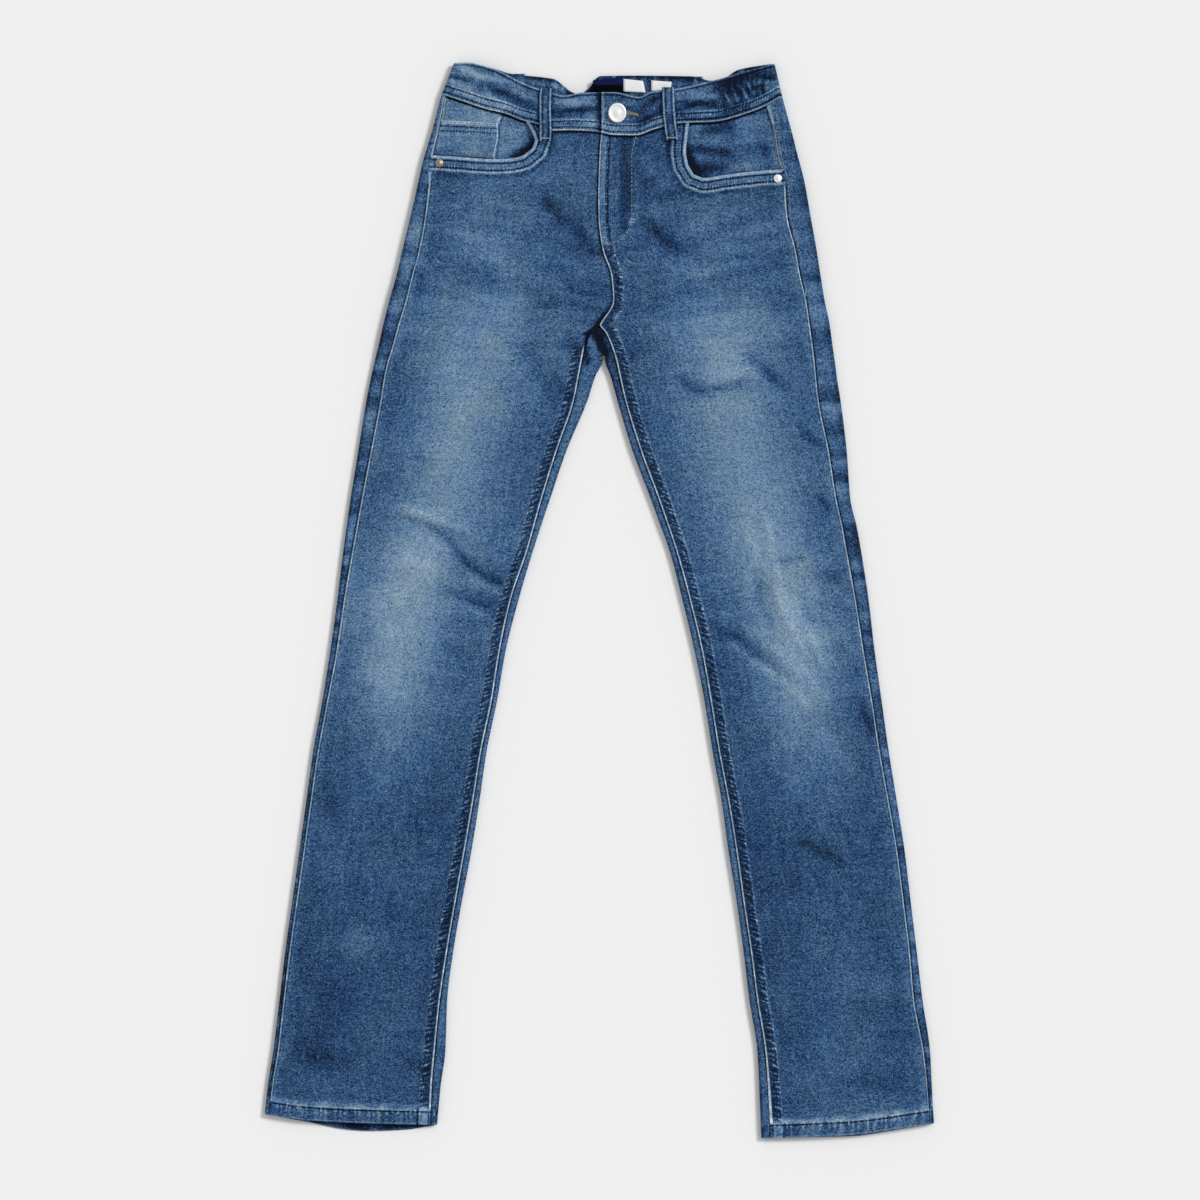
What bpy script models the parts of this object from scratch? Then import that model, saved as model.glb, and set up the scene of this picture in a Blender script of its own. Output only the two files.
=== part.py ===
"""Child's skinny five-pocket jeans laid flat on their back, as closed cloth walls.

Sizes are in millimetres and are turned into metres when a mesh is made. Seen from above, +Y is the
waist and +Z points up from the floor. Left and right are the viewer's left and right.
"""
import math

import bpy
import numpy as np
from mathutils import Vector
from mathutils.bvhtree import BVHTree
from mathutils.geometry import delaunay_2d_cdt

# Named sizes
MM = 0.001
CLOTH = 1.2
SEAM_GAP = 0.3
FOLD_RADIUS = 2.6
FILL = 1.1
SEAT_LIFT = 1.5
HEM_DEPTH = 13.0
HEM_RELIEF = 0.5
POCKET_HEM = 12.0
POCKET_RELIEF = 0.7
SEAM_BAND = 9.0
SEAM_RELIEF = 0.6
FLY_RELIEF = 0.7
RAMP = 2.0
BAND_WALL = 1.8
BAND_RADIUS = 2.9
BAND_RELIEF = 0.6
UNDERLAP_END = 36.0
OVERLAP_LIFT = BAND_WALL + 0.35
APEX = 211.0
CROTCH = 236.0
CENTRE_BACK = 3.2
YOKE_SIDE = 406.0
YOKE_CENTRE = 372.0
GATHER = 0.7
GATHER_STEPS = 40
FACING_DROP = 0.4
FACING_WALL = 1.0
COIN_WALL = 1.0
COIN_HEM = 0.4
LABEL_WALL = 1.0
LOOP_CROWN = 0.25
BACK_LOOP_WIDTH = 10.4
POINT_SPACING = 7.0

# Cross-sections, one row each: y, outer fold, side seam, inner seam, inner fold.
# Above the crotch the inner seam is the centre front line.
LEFT = (
    (439.0, -137.9, -134.4, 1.5, 3.2),
    (408.5, -145.7, -140.1, 1.3, 3.2),
    (382.5, -153.6, -146.2, -0.4, 3.2),
    (347.5, -161.4, -150.1, -1.7, 3.2),
    (304.0, -171.8, -157.5, 2.2, 3.2),
    (282.0, -177.0, -163.6, 9.6, 3.2),
    (260.5, -183.1, -168.8, 11.2, 3.2),
    (239.5, -188.4, -175.3, -0.4, 3.2),
    (230.0, -190.5, -177.9, -10.9, 3.2),
    (220.5, -192.7, -180.5, -13.5, 3.0),
    (206.5, -196.2, -184.9, -16.1, 1.8),
    (195.0, -198.8, -187.5, -18.3, -3.9),
    (173.5, -203.1, -191.0, -22.6, -10.9),
    (130.0, -210.1, -199.2, -37.4, -29.1),
    (86.5, -217.1, -207.5, -50.9, -43.9),
    (43.0, -223.2, -215.3, -63.1, -58.2),
    (0.0, -228.4, -222.7, -77.5, -70.9),
    (-44.0, -234.5, -229.2, -87.0, -82.0),
    (-87.5, -241.4, -237.3, -94.0, -89.5),
    (-131.0, -249.3, -245.4, -103.1, -98.5),
    (-174.5, -255.3, -251.7, -110.1, -104.8),
    (-218.0, -261.4, -257.8, -117.5, -111.8),
    (-261.5, -267.5, -264.0, -125.3, -120.0),
    (-305.0, -273.6, -270.1, -132.7, -127.5),
    (-348.5, -278.8, -275.3, -139.2, -132.9),
    (-392.0, -284.1, -280.4, -143.6, -134.5),
    (-418.0, -288.4, -284.8, -146.2, -138.8),
    (-447.0, -291.8, -288.2, -147.6, -141.9),
)
RIGHT = (
    (438.0, 158.8, 144.0, 1.5, 3.2),
    (413.0, 165.3, 150.4, 1.3, 3.2),
    (390.0, 171.0, 153.6, -0.4, 3.2),
    (363.0, 177.9, 160.3, -1.7, 3.2),
    (333.5, 183.1, 162.8, -1.3, 3.2),
    (304.0, 188.4, 170.1, 2.2, 3.2),
    (282.0, 191.8, 174.0, 9.6, 3.2),
    (260.5, 195.3, 179.2, 11.2, 3.2),
    (239.5, 199.7, 182.3, -0.4, 3.2),
    (232.5, 200.7, 183.2, 4.6, 3.2),
    (220.5, 202.3, 184.9, 10.0, 3.4),
    (206.5, 204.4, 186.6, 14.4, 4.8),
    (195.0, 205.8, 187.7, 16.8, 9.1),
    (173.5, 209.2, 190.1, 21.8, 15.2),
    (130.0, 214.5, 198.8, 35.2, 28.3),
    (86.5, 217.9, 205.8, 51.3, 44.8),
    (65.0, 223.0, 210.5, 58.7, 52.6),
    (43.0, 227.0, 214.5, 66.1, 60.5),
    (0.0, 233.6, 222.3, 77.9, 71.8),
    (-44.0, 238.8, 229.2, 88.3, 82.2),
    (-87.5, 244.9, 236.6, 96.0, 90.9),
    (-131.0, 251.0, 243.2, 103.0, 97.9),
    (-174.5, 258.0, 251.0, 111.3, 105.7),
    (-218.0, 264.9, 258.4, 118.3, 111.8),
    (-261.5, 270.1, 264.0, 124.4, 118.8),
    (-305.0, 275.4, 269.3, 130.9, 124.8),
    (-348.5, 280.6, 273.2, 136.6, 130.1),
    (-392.0, 287.0, 281.4, 143.6, 137.0),
    (-418.0, 288.6, 284.6, 146.2, 138.8),
    (-455.0, 291.2, 287.6, 148.9, 140.9),
)

# Centre front line shared by both fronts: y, x
CENTRE_FRONT = (
    (439.0, 1.5), (413.0, 1.3), (390.0, -0.4), (347.5, -1.7), (330.0, -1.3), (304.0, 2.2),
    (282.0, 9.6), (260.5, 11.2), (239.5, -0.4),
)

# Edges as x, y rows
WAIST_SEAM = (
    (-137.9, 439.5), (-118.8, 433.1), (-100.5, 426.9), (-83.0, 422.6), (-67.4, 416.6),
    (-52.6, 412.8), (-41.8, 407.6), (-27.4, 408.0), (-4.8, 407.0), (11.7, 403.8),
    (30.9, 403.5), (47.4, 408.8), (68.3, 414.1), (98.7, 415.4), (129.2, 423.3),
    (144.0, 429.3), (158.8, 438.0),
)
BAND_TOP_FRONT = (
    (-127.0, 466.8), (-116.0, 467.0), (-94.4, 462.4), (-66.1, 448.9), (-39.6, 439.8),
    (-31.8, 438.2), (-15.2, 440.8), (11.7, 441.1), (34.4, 436.9), (44.8, 441.6),
    (66.2, 444.1), (98.7, 451.4), (124.8, 458.7), (151.8, 466.6),
)
BAND_TOP_BACK = (
    (-127.0, 466.8), (-97.9, 463.5), (-76.1, 457.4), (-40.5, 453.0), (-25.7, 442.4),
    (-18.7, 439.5), (-11.7, 443.0), (0.4, 455.6), (27.4, 456.0), (80.5, 455.3),
    (96.1, 451.6), (106.6, 452.6), (120.0, 461.0), (151.8, 466.6),
)
BACK_WAIST = (
    (-135.0, 438.3), (-100.0, 427.0), (-60.0, 420.0), (-18.0, 412.0), (10.0, 417.0),
    (60.0, 419.0), (100.0, 419.5), (130.0, 427.5), (155.9, 436.3),
)
HEM_FRONT = {
    "left": ((-291.9, -447.0), (-255.3, -452.0), (-206.6, -454.6), (-141.0, -456.3)),
    "right": ((140.0, -468.0), (162.1, -467.4), (219.3, -464.8), (251.3, -460.8), (291.3, -454.8)),
}
HEM_BACK = {
    "left": ((-291.9, -447.0), (-249.3, -455.1), (-218.8, -460.7), (-200.5, -461.8),
             (-170.1, -460.7), (-141.0, -456.3)),
    "right": ((140.0, -468.0), (219.3, -466.4), (251.3, -462.0), (291.3, -454.8)),
}
SCOOP = {
    "left": ((-64.5, 415.6), (-59.5, 407.0), (-56.2, 399.5), (-58.6, 392.5), (-66.5, 386.2),
             (-80.0, 383.3), (-104.0, 383.4), (-125.0, 385.2), (-145.4, 386.4)),
    "right": ((77.3, 414.6), (75.6, 400.0), (74.6, 388.0), (76.4, 378.0), (81.5, 369.6),
              (90.0, 366.4), (104.0, 368.6), (130.0, 372.0), (157.6, 374.2)),
}
FACING_EDGE = {
    "left": ((-48.0, 410.0), (-43.5, 398.0), (-49.0, 383.0), (-66.0, 372.0), (-90.0, 370.0),
             (-120.0, 372.5), (-147.0, 374.0)),
    "right": ((64.0, 412.5), (61.5, 390.0), (64.0, 374.0), (76.0, 359.5), (95.0, 354.5),
              (125.0, 358.5), (159.6, 361.0)),
}
COIN_EDGE = (
    (-138.0, 416.9), (-114.0, 415.8), (-89.2, 414.4), (-88.4, 403.0), (-90.6, 392.0),
    (-92.0, 384.2), (-104.0, 384.3), (-125.0, 386.1), (-144.6, 387.2),
)
FLY_CURVE = (
    (31.8, 403.2), (28.3, 389.3), (28.0, 365.0), (28.0, 340.0), (27.6, 329.0), (22.6, 317.5),
    (14.5, 311.2), (2.2, 309.6),
)

# Large folds: x and y at both ends, half width, height (troughs are negative)
FOLDS = (
    (-42.0, 349.0, -8.0, 304.0, 11.0, -1.5),
    (-69.0, 226.0, -40.0, 170.0, 9.0, -1.4),
    (-56.0, 244.0, -28.0, 196.0, 9.0, 1.3),
    (-178.0, 80.0, -136.0, 69.0, 7.0, 2.2),
    (-162.0, 64.0, -128.0, 57.0, 8.0, -1.5),
    (-128.0, 50.0, -92.0, 18.0, 8.0, -1.5),
    (-120.0, 62.0, -84.0, 34.0, 8.0, 1.8),
    (-116.0, 6.0, -92.0, -10.0, 7.0, -1.2),
    (-238.0, -158.0, -232.0, -194.0, 9.0, -1.2),
    (44.0, 322.0, 72.0, 303.0, 9.0, -1.3),
    (70.0, 194.0, 90.0, 181.0, 8.0, -1.4),
    (90.0, 181.0, 126.0, 189.0, 8.0, -1.4),
    (130.0, 211.0, 157.0, 185.0, 9.0, -1.3),
    (174.0, 149.0, 196.0, 135.0, 8.0, 1.6),
    (204.0, 80.0, 218.0, 57.0, 8.0, 1.8),
    (139.0, 39.0, 146.0, -15.0, 8.0, -1.5),
    (157.0, 0.0, 173.0, -34.0, 8.0, 2.0),
    (187.0, -32.0, 194.0, -53.0, 8.0, 1.8),
    (120.0, -32.0, 183.0, -96.0, 9.0, -1.6),
    (132.0, -28.0, 190.0, -84.0, 9.0, 1.9),
    (229.0, -93.0, 237.0, -118.0, 8.0, -1.2),
    (173.0, -209.0, 209.0, -228.0, 9.0, -1.1),
)
# Folds of the front waistband, in the same columns
BAND_FOLDS = (
    (-106.0, 450.0, -62.0, 432.0, 4.5, -1.0),
    (-86.0, 434.0, -52.0, 421.0, 4.0, 0.7),
    (-40.0, 423.0, -6.0, 427.0, 4.0, -1.0),
    (-42.0, 433.0, -8.0, 432.0, 4.5, 0.7),
    (34.0, 414.0, 58.0, 428.0, 4.5, -0.9),
    (66.0, 426.0, 94.0, 434.0, 4.0, -1.0),
    (78.0, 440.0, 104.0, 446.0, 4.0, 0.7),
)
# Pocket mouths standing off their facings: x, y, half width, height
LIFTS = {"left": (-63.0, 395.0, 13.0, 1.3), "right": (80.0, 377.0, 13.0, 1.0)}

# Where the band turns round the side folds: x at its seam and at its top
BAND_LOW = {"left": -137.9, "right": 158.8}
BAND_HIGH = {"left": -127.0, "right": 151.8}
# Rows of the band: share of its height, relief of the roped lower edge
BAND_ROWS = (
    (0.0, 0.0), (0.12, 0.25), (0.22, 0.35), (0.31, -0.2), (0.55, 0.0), (0.8, 0.0), (1.0, 0.0),
)

# Front belt loops: upper end, lower end, width
FRONT_LOOPS = {
    "left": ((-46.8, 444.4), (-48.0, 398.6), 10.4),
    "right": ((58.6, 445.4), (62.4, 399.4), 10.8),
}
BACK_LOOPS = {"left": -70.0, "centre": 3.2, "right": 84.0}
BUTTON = (15.0, 423.0)
RIVETS = {"left": (-139.6, 379.6), "right": (154.4, 366.2)}
# Turned metal: radius, height
BUTTON_PROFILE = (
    (0.0, 0.0), (7.2, 0.0), (8.4, 0.7), (8.6, 1.5), (8.0, 2.3), (6.9, 2.5), (6.2, 2.0), (3.4, 1.9),
    (2.6, 2.3), (0.0, 2.5),
)
RIVET_PROFILE = ((0.0, 0.0), (3.3, 0.0), (3.6, 0.5), (3.0, 1.1), (1.6, 1.5), (0.0, 1.6))
# Bare labels inside the back band: material, corners
LABELS = {
    "label_waist": ("label_dark", ((-6.0, 442.5), (19.6, 441.0), (19.6, 454.8), (-6.0, 452.0))),
    "tab_a": ("label_light", ((20.4, 442.0), (39.6, 441.0), (37.4, 451.2), (20.4, 453.0))),
    "tab_b": ("label_light", ((44.5, 442.6), (61.5, 442.6), (62.2, 450.4), (44.5, 451.7))),
}

# Materials: base colour, roughness, metallic
MATERIALS = {
    "denim": ((0.13, 0.20, 0.32, 1.0), 0.9, 0.0),
    "button_metal": ((0.78, 0.78, 0.76, 1.0), 0.3, 1.0),
    "rivet_metal": ((0.62, 0.42, 0.30, 1.0), 0.4, 1.0),
    "label_dark": ((0.03, 0.04, 0.10, 1.0), 0.8, 0.0),
    "label_light": ((0.85, 0.85, 0.84, 1.0), 0.8, 0.0),
}

SIDES = {"left": (LEFT, -1.0), "right": (RIGHT, 1.0)}

# Rows of the panels and columns of the band
LEG_ROWS = [-445.0, -431.0, -420.0] + [-400.0 + 23.5 * i for i in range(25)] + [185.0, 198.0]
SEAT_ROWS = [APEX, 219.0, 228.0, CROTCH, 248.0, 262.0, 280.0, 300.0, 322.0, 344.0, 366.0, 384.0]
BAND_X = {
    "left": [UNDERLAP_END - 4.75 * i for i in range(36)] + [-135.0],
    "right": [1.4 + 4.3 * i for i in range(27)] + [115.5 + 2.5 * i for i in range(16)] + [155.9],
}
BACK_X = [-135.3 + 17.3 * i for i in range(9)] + [156.2 - 19.1 * i for i in range(8)]
CENTRE_ROWS = [395.0, 380.0, 362.0, 344.0, 326.0, 308.0, 300.0, 290.0, 280.0, 270.0, 262.0,
               254.0, 247.0, 241.0]


# Curves and surfaces
def smooth(rows, column=1):
    """A monotone cubic through one column of a table, as a function of its first column."""
    data = np.array(sorted((row[0], row[column]) for row in rows))
    xs, ys = data[:, 0], data[:, 1]
    run = np.diff(xs)
    rate = np.diff(ys) / run
    slope = np.zeros(len(xs))
    slope[0], slope[-1] = rate[0], rate[-1]
    same = rate[:-1] * rate[1:] > 0
    slope[1:-1][same] = 2.0 / (1.0 / rate[:-1][same] + 1.0 / rate[1:][same])

    def value(at):
        at = np.clip(at, xs[0], xs[-1])
        i = np.clip(np.searchsorted(xs, at) - 1, 0, len(xs) - 2)
        t = (at - xs[i]) / run[i]
        return ((2 * t ** 3 - 3 * t ** 2 + 1) * ys[i]
                + (t ** 3 - 2 * t ** 2 + t) * run[i] * slope[i]
                + (3 * t ** 2 - 2 * t ** 3) * ys[i + 1]
                + (t ** 3 - t ** 2) * run[i] * slope[i + 1])

    return value


def ease(t):
    """A soft step from 0 to 1."""
    t = np.clip(t, 0.0, 1.0)
    return t * t * (3.0 - 2.0 * t)


def spline(points, step):
    """Points about one step apart on a soft curve through the given ones."""
    pts = [Vector(p) for p in points]
    pts = [2 * pts[0] - pts[1]] + pts + [2 * pts[-1] - pts[-2]]
    out = []
    for a, b, c, d in zip(pts, pts[1:], pts[2:], pts[3:]):
        count = max(1, round((c - b).length / step))
        for i in range(count):
            t = i / count
            out.append(tuple(0.5 * (2 * b + (c - a) * t + (2 * a - 5 * b + 4 * c - d) * t ** 2
                                    + (3 * b - a - 3 * c + d) * t ** 3)))
    return out + [tuple(points[-1])]


def line_distance(points, x, y):
    """Shortest distance from x, y to a run of straight pieces."""
    best = None
    for (ax, ay), (bx, by) in zip(points, points[1:]):
        dx, dy = bx - ax, by - ay
        t = np.clip(((x - ax) * dx + (y - ay) * dy) / (dx * dx + dy * dy), 0.0, 1.0)
        away = np.hypot(x - ax - t * dx, y - ay - t * dy)
        best = away if best is None else np.minimum(best, away)
    return best


fold_out = {side: smooth(rows, 1) for side, (rows, _) in SIDES.items()}
side_seam = {side: smooth(rows, 2) for side, (rows, _) in SIDES.items()}
leg_seam = {side: smooth(rows, 3) for side, (rows, _) in SIDES.items()}
fold_in = {side: smooth(rows, 4) for side, (rows, _) in SIDES.items()}
hem_front = {side: smooth(rows) for side, rows in HEM_FRONT.items()}
hem_back = {side: smooth(rows) for side, rows in HEM_BACK.items()}
centre_front = smooth(CENTRE_FRONT)
waist_seam = smooth(WAIST_SEAM)
band_top_front = smooth(BAND_TOP_FRONT)
band_top_back = smooth(BAND_TOP_BACK)
back_waist = smooth(BACK_WAIST)


def inner_edge(side, y):
    """Inseam below the crotch point, centre front above it."""
    return np.where(y > CENTRE_FRONT[-1][0], centre_front(y), leg_seam[side](y))


def hem_shift(side, x, y_row, edge):
    """How far a row near the hem moves to end on the hem's own curve."""
    return (1 - ease((y_row - LEG_ROWS[0]) / 60.0)) * (edge[side](x) - LEG_ROWS[0])


def seam_line(side, x):
    """Waist seam as the straight pieces between the band's own columns."""
    columns = sorted(BAND_X[side])
    return np.interp(x, columns, waist_seam(np.array(columns)))


def back_line(x):
    """Back waist seam as the straight pieces between the yokes' own columns."""
    columns = sorted(BACK_X)
    return np.interp(x, columns, back_waist(np.array(columns)))


def rest_level(y):
    """Underside of the back: on the floor at the legs, on its pockets and loops at the seat."""
    return SEAT_LIFT * ease((y - 200.0) / 32.0)


def folds(x, y, table=FOLDS):
    """Height added by a table of folds."""
    total = 0.0 * (x + y)
    for ax, ay, bx, by, wide, high in table:
        dx, dy = bx - ax, by - ay
        along = ((x - ax) * dx + (y - ay) * dy) / (dx * dx + dy * dy)
        t = np.clip(along, 0.0, 1.0)
        away = np.hypot(x - ax - t * dx, y - ay - t * dy)
        total = total + high * np.exp(-(away / wide) ** 2) * (0.6 + 0.4 * np.sin(math.pi * t))
    return total


def dome(x, a, b):
    """Fullness between two folds, zero one fold radius inside each."""
    u = (x - a) / (b - a)
    return np.clip(1.0 - (2.0 * u - 1.0) ** 4, 0.0, 1.0)


def top(side, x, y):
    """Upper surface of the cloth that faces up."""
    sign = SIDES[side][1]
    outer = fold_out[side](y) - sign * FOLD_RADIUS
    inner = fold_in[side](y) + sign * FOLD_RADIUS
    leg = dome(x, outer, inner)
    hip = dome(x, fold_out["left"](y) + FOLD_RADIUS, fold_out["right"](y) - FOLD_RADIUS)
    mix = ease((y - 205.0) / 45.0)
    edge = ease(np.abs(x - outer) / 12.0) * (mix + (1.0 - mix) * ease(np.abs(x - inner) / 12.0))
    return (rest_level(y) + 2 * FOLD_RADIUS + FILL * ((1 - mix) * leg + mix * hip)
            + edge * folds(x, y))


def hem_zone(side, x, y):
    """One inside the turned hem, zero above it."""
    return 1.0 - ease((y - hem_front[side](x) - HEM_DEPTH) / RAMP)


def front_relief(side, x, y):
    """Extra thickness of the turned hem, felled inseam, pocket hem and fly."""
    sign = SIDES[side][1]
    from_inseam = np.abs(x - inner_edge(side, y))
    inseam = SEAM_RELIEF * (1 - ease((from_inseam - SEAM_BAND) / RAMP)) * ease((240.0 - y) / 6.0)
    pocket = POCKET_RELIEF * (1 - ease((line_distance(SCOOP_LINE[side], x, y) - POCKET_HEM) / RAMP))
    fly = 0.0
    if sign > 0:
        reach = FLY_LINE_X(y)
        fly = FLY_RELIEF * (1 - ease((x - reach) / RAMP)) * ease((y - 308.0) / RAMP)
    return np.maximum(np.maximum(HEM_RELIEF * hem_zone(side, x, y), inseam), np.maximum(pocket, fly))


SCOOP_LINE = {side: spline(points, 7.0) for side, points in SCOOP.items()}
FLY_LINE_X = smooth([(y, x) for x, y in FLY_CURVE])


# Meshes
def new_object(name, verts, faces, material):
    """A mesh object in metres with outward faces."""
    mesh = bpy.data.meshes.new(name)
    mesh.from_pydata([tuple(c * MM for c in v) for v in verts], [], faces)
    mesh.validate()
    mesh.materials.append(material)
    obj = bpy.data.objects.new(name, mesh)
    bpy.context.scene.collection.objects.link(obj)
    return obj


def close_wall(name, outer, inner, cells, material):
    """A closed wall from matching outer and inner points and the cells between them."""
    count = len(outer)
    faces, border = [], {}
    for cell in cells:
        faces.append(tuple(cell))
        faces.append(tuple(i + count for i in reversed(cell)))
        for a, b in zip(cell, cell[1:] + cell[:1]):
            if (b, a) in border:
                del border[(b, a)]
            else:
                border[(a, b)] = True
    for a, b in border:
        faces.append((b, a, a + count))
        faces.append((b, a + count, b + count))
    used = sorted({i for face in faces for i in face})
    number = {old: new for new, old in enumerate(used)}
    points = list(outer) + list(inner)
    return new_object(name, [points[i] for i in used],
                      [tuple(number[i] for i in face) for face in faces], material)


def grid_cells(rows, columns, keep=None, flip=False):
    """Triangles of a grid of points, leaving out the cells that keep says no to."""
    cells = []
    for j in range(rows - 1):
        for k in range(columns - 1):
            if keep and not keep(j, k):
                continue
            a, b = j * columns + k, j * columns + k + 1
            c, d = b + columns, a + columns
            pair = [[a, b, c], [a, c, d]] if (j + k) % 2 else [[a, b, d], [b, c, d]]
            cells += [list(reversed(t)) for t in pair] if flip else pair
    return cells


def inside(points, x, y):
    """Whether x, y is inside a closed outline."""
    hit = False
    for (ax, ay), (bx, by) in zip(points, points[1:] + points[:1]):
        if (ay > y) != (by > y) and x < ax + (y - ay) * (bx - ax) / (by - ay):
            hit = not hit
    return hit


def sheet(name, outline, fill, lines, upper, lower, material, margin=4.0):
    """A closed wall over an outline: fill points well inside it and kept inner lines."""
    verts = [Vector(p) for p in outline]
    edges = []
    closed = outline + outline[:1]
    for line in lines:
        run = [p for p in line if inside(outline, *p) and line_distance(closed, *p) > 1.2]
        for i, (a, b) in enumerate(zip(run, run[1:])):
            if inside(outline, (a[0] + b[0]) / 2, (a[1] + b[1]) / 2):
                edges.append((len(verts) + i, len(verts) + i + 1))
        verts += [Vector(p) for p in run]
    taken = [p for line in lines for p in line]
    for p in fill:
        near = min((math.hypot(p[0] - q[0], p[1] - q[1]) for q in taken), default=99.0)
        if inside(outline, *p) and line_distance(closed, *p) > margin and near > margin:
            verts.append(Vector(p))
    found = delaunay_2d_cdt(verts, edges, [list(range(len(outline)))], 1, 1e-5, False)
    flat = [(v.x, v.y) for v in found[0]]
    tops = [(x, y, float(upper(x, y))) for x, y in flat]
    bases = [(x, y, float(lower(x, y))) for x, y in flat]
    cells = []
    for face in found[2]:
        a, b, c = (flat[i] for i in face)
        if not inside(outline, (a[0] + b[0] + c[0]) / 3, (a[1] + b[1] + c[1]) / 3):
            continue
        turn = (b[0] - a[0]) * (c[1] - a[1]) - (b[1] - a[1]) * (c[0] - a[0])
        cells.append(list(face) if turn > 0 else list(reversed(face)))
    return close_wall(name, tops, bases, cells, material)


def spin(name, profile, segments, centre, material):
    """A closed turned piece from radius, height rows that start and end on the axis."""
    verts, faces = [], []
    rings = []
    for radius, height in profile:
        if radius == 0:
            rings.append([len(verts)] * segments)
            verts.append((centre[0], centre[1], centre[2] + height))
            continue
        rings.append([len(verts) + i for i in range(segments)])
        for i in range(segments):
            angle = 2 * math.pi * i / segments
            verts.append((centre[0] + radius * math.cos(angle),
                          centre[1] + radius * math.sin(angle), centre[2] + height))
    for low, high in zip(rings, rings[1:]):
        for i in range(segments):
            j = (i + 1) % segments
            quad = [low[i], low[j], high[j], high[i]]
            loop = [v for n, v in enumerate(quad) if v not in quad[:n]]
            faces.append(tuple(loop))
    return new_object(name, verts, faces, material)


def covering(objects):
    """A function giving the highest point of some pieces near x, y."""
    trees = []
    for obj in objects:
        points = [v.co / MM for v in obj.data.vertices]
        trees.append(BVHTree.FromPolygons(points, [tuple(p.vertices) for p in obj.data.polygons]))

    def height(x, y, reach=1.5):
        best = 0.0
        for dx in (-reach, 0.0, reach):
            for dy in (-reach, 0.0, reach):
                for tree in trees:
                    hit = tree.ray_cast(Vector((x + dx, y + dy, 60.0)), Vector((0, 0, -1)))[0]
                    if hit:
                        best = max(best, hit.z)
        return best

    return height


# Panels
def back_point(side, y, zone, part):
    """Outer and inner x, z of the back panel in one cross-section."""
    sign = SIDES[side][1]
    seat = y > APEX + 0.01
    wall = CLOTH + 0.8 * (1 - ease((y + 436.0) / 6.0))
    rest = rest_level(y)
    level = rest + FOLD_RADIUS
    outer = fold_out[side](y) - sign * FOLD_RADIUS
    inner = fold_in[side](y) + sign * FOLD_RADIUS
    half_gap = SEAM_GAP / 2
    slant = CENTRE_BACK - 3.6 * (y - APEX) / (CROTCH + 3.0 - APEX)
    if zone == "strip_out":
        start = side_seam[side](y) + sign * half_gap
        x = start + (outer - start) * part
        z = float(top(side, x, y))
        return x, z, x, z - wall
    if zone == "strip_in" or (zone == "bend_in" and seat and part == 1.0):
        start = slant + sign * half_gap if seat else inner
        part = 0.0 if zone == "bend_in" else part
        end = inner_edge(side, y) - sign * half_gap
        x = start + (end - start) * part
        z = float(top(side, x, y))
        return x, z, x, z - wall
    if zone == "floor":
        end = CENTRE_BACK + sign * half_gap if seat else inner
        x = outer + (end - outer) * part
        return x, rest, x, rest + wall
    angle = math.radians(90.0 - 180.0 * part)
    thin = FOLD_RADIUS - wall
    if zone == "bend_out":
        return (outer + sign * FOLD_RADIUS * math.cos(angle), level + FOLD_RADIUS * math.sin(angle),
                outer + sign * thin * math.cos(angle), level + thin * math.sin(angle))
    return (inner - sign * FOLD_RADIUS * math.cos(angle), level - FOLD_RADIUS * math.sin(angle),
            inner - sign * thin * math.cos(angle), level - thin * math.sin(angle))


def zone_steps(counts):
    """Columns along a cross-section: zone name and how far through it."""
    steps = [(counts[0][0], 0.0)]
    for zone, count in counts:
        steps += [(zone, (i + 1) / count) for i in range(count)]
    return steps


def yoke_seam(zone, part):
    """Height of the yoke seam: level at the side, falling to the centre back."""
    return YOKE_SIDE + (YOKE_CENTRE - YOKE_SIDE) * (part if zone == "floor" else 0.0)


def back_panel(side, material):
    """Back of one leg, wrapped round both folds and open at the front seams."""
    columns = zone_steps((("strip_out", 2), ("bend_out", 4), ("floor", 5), ("bend_in", 4),
                          ("strip_in", 1)))
    names = [zone for zone, _ in columns[1:]]
    rows = LEG_ROWS + SEAT_ROWS + [YOKE_SIDE - SEAM_GAP / 2]
    outer, inner = [], []
    for y_row in rows:
        for zone, part in columns:
            drop = ease((y_row - 300.0) / 106.0) * (YOKE_SIDE - yoke_seam(zone, part))
            y = y_row - drop
            xo, zo, xi, zi = (float(v) for v in back_point(side, y, zone, part))
            edge = hem_back if zone == "floor" else hem_front
            y += float(hem_shift(side, xo, y_row, edge))
            outer.append((xo, y, zo))
            inner.append((xi, y, zi))

    def keep(j, k):
        y = rows[j]
        if names[k] == "bend_in":
            return y < APEX - 0.01
        if names[k] == "strip_in":
            return y < CROTCH - 0.01
        return True

    cells = grid_cells(len(rows), len(columns), keep, flip=side == "left")
    return close_wall("back_" + side, outer, inner, cells, material)


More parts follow.
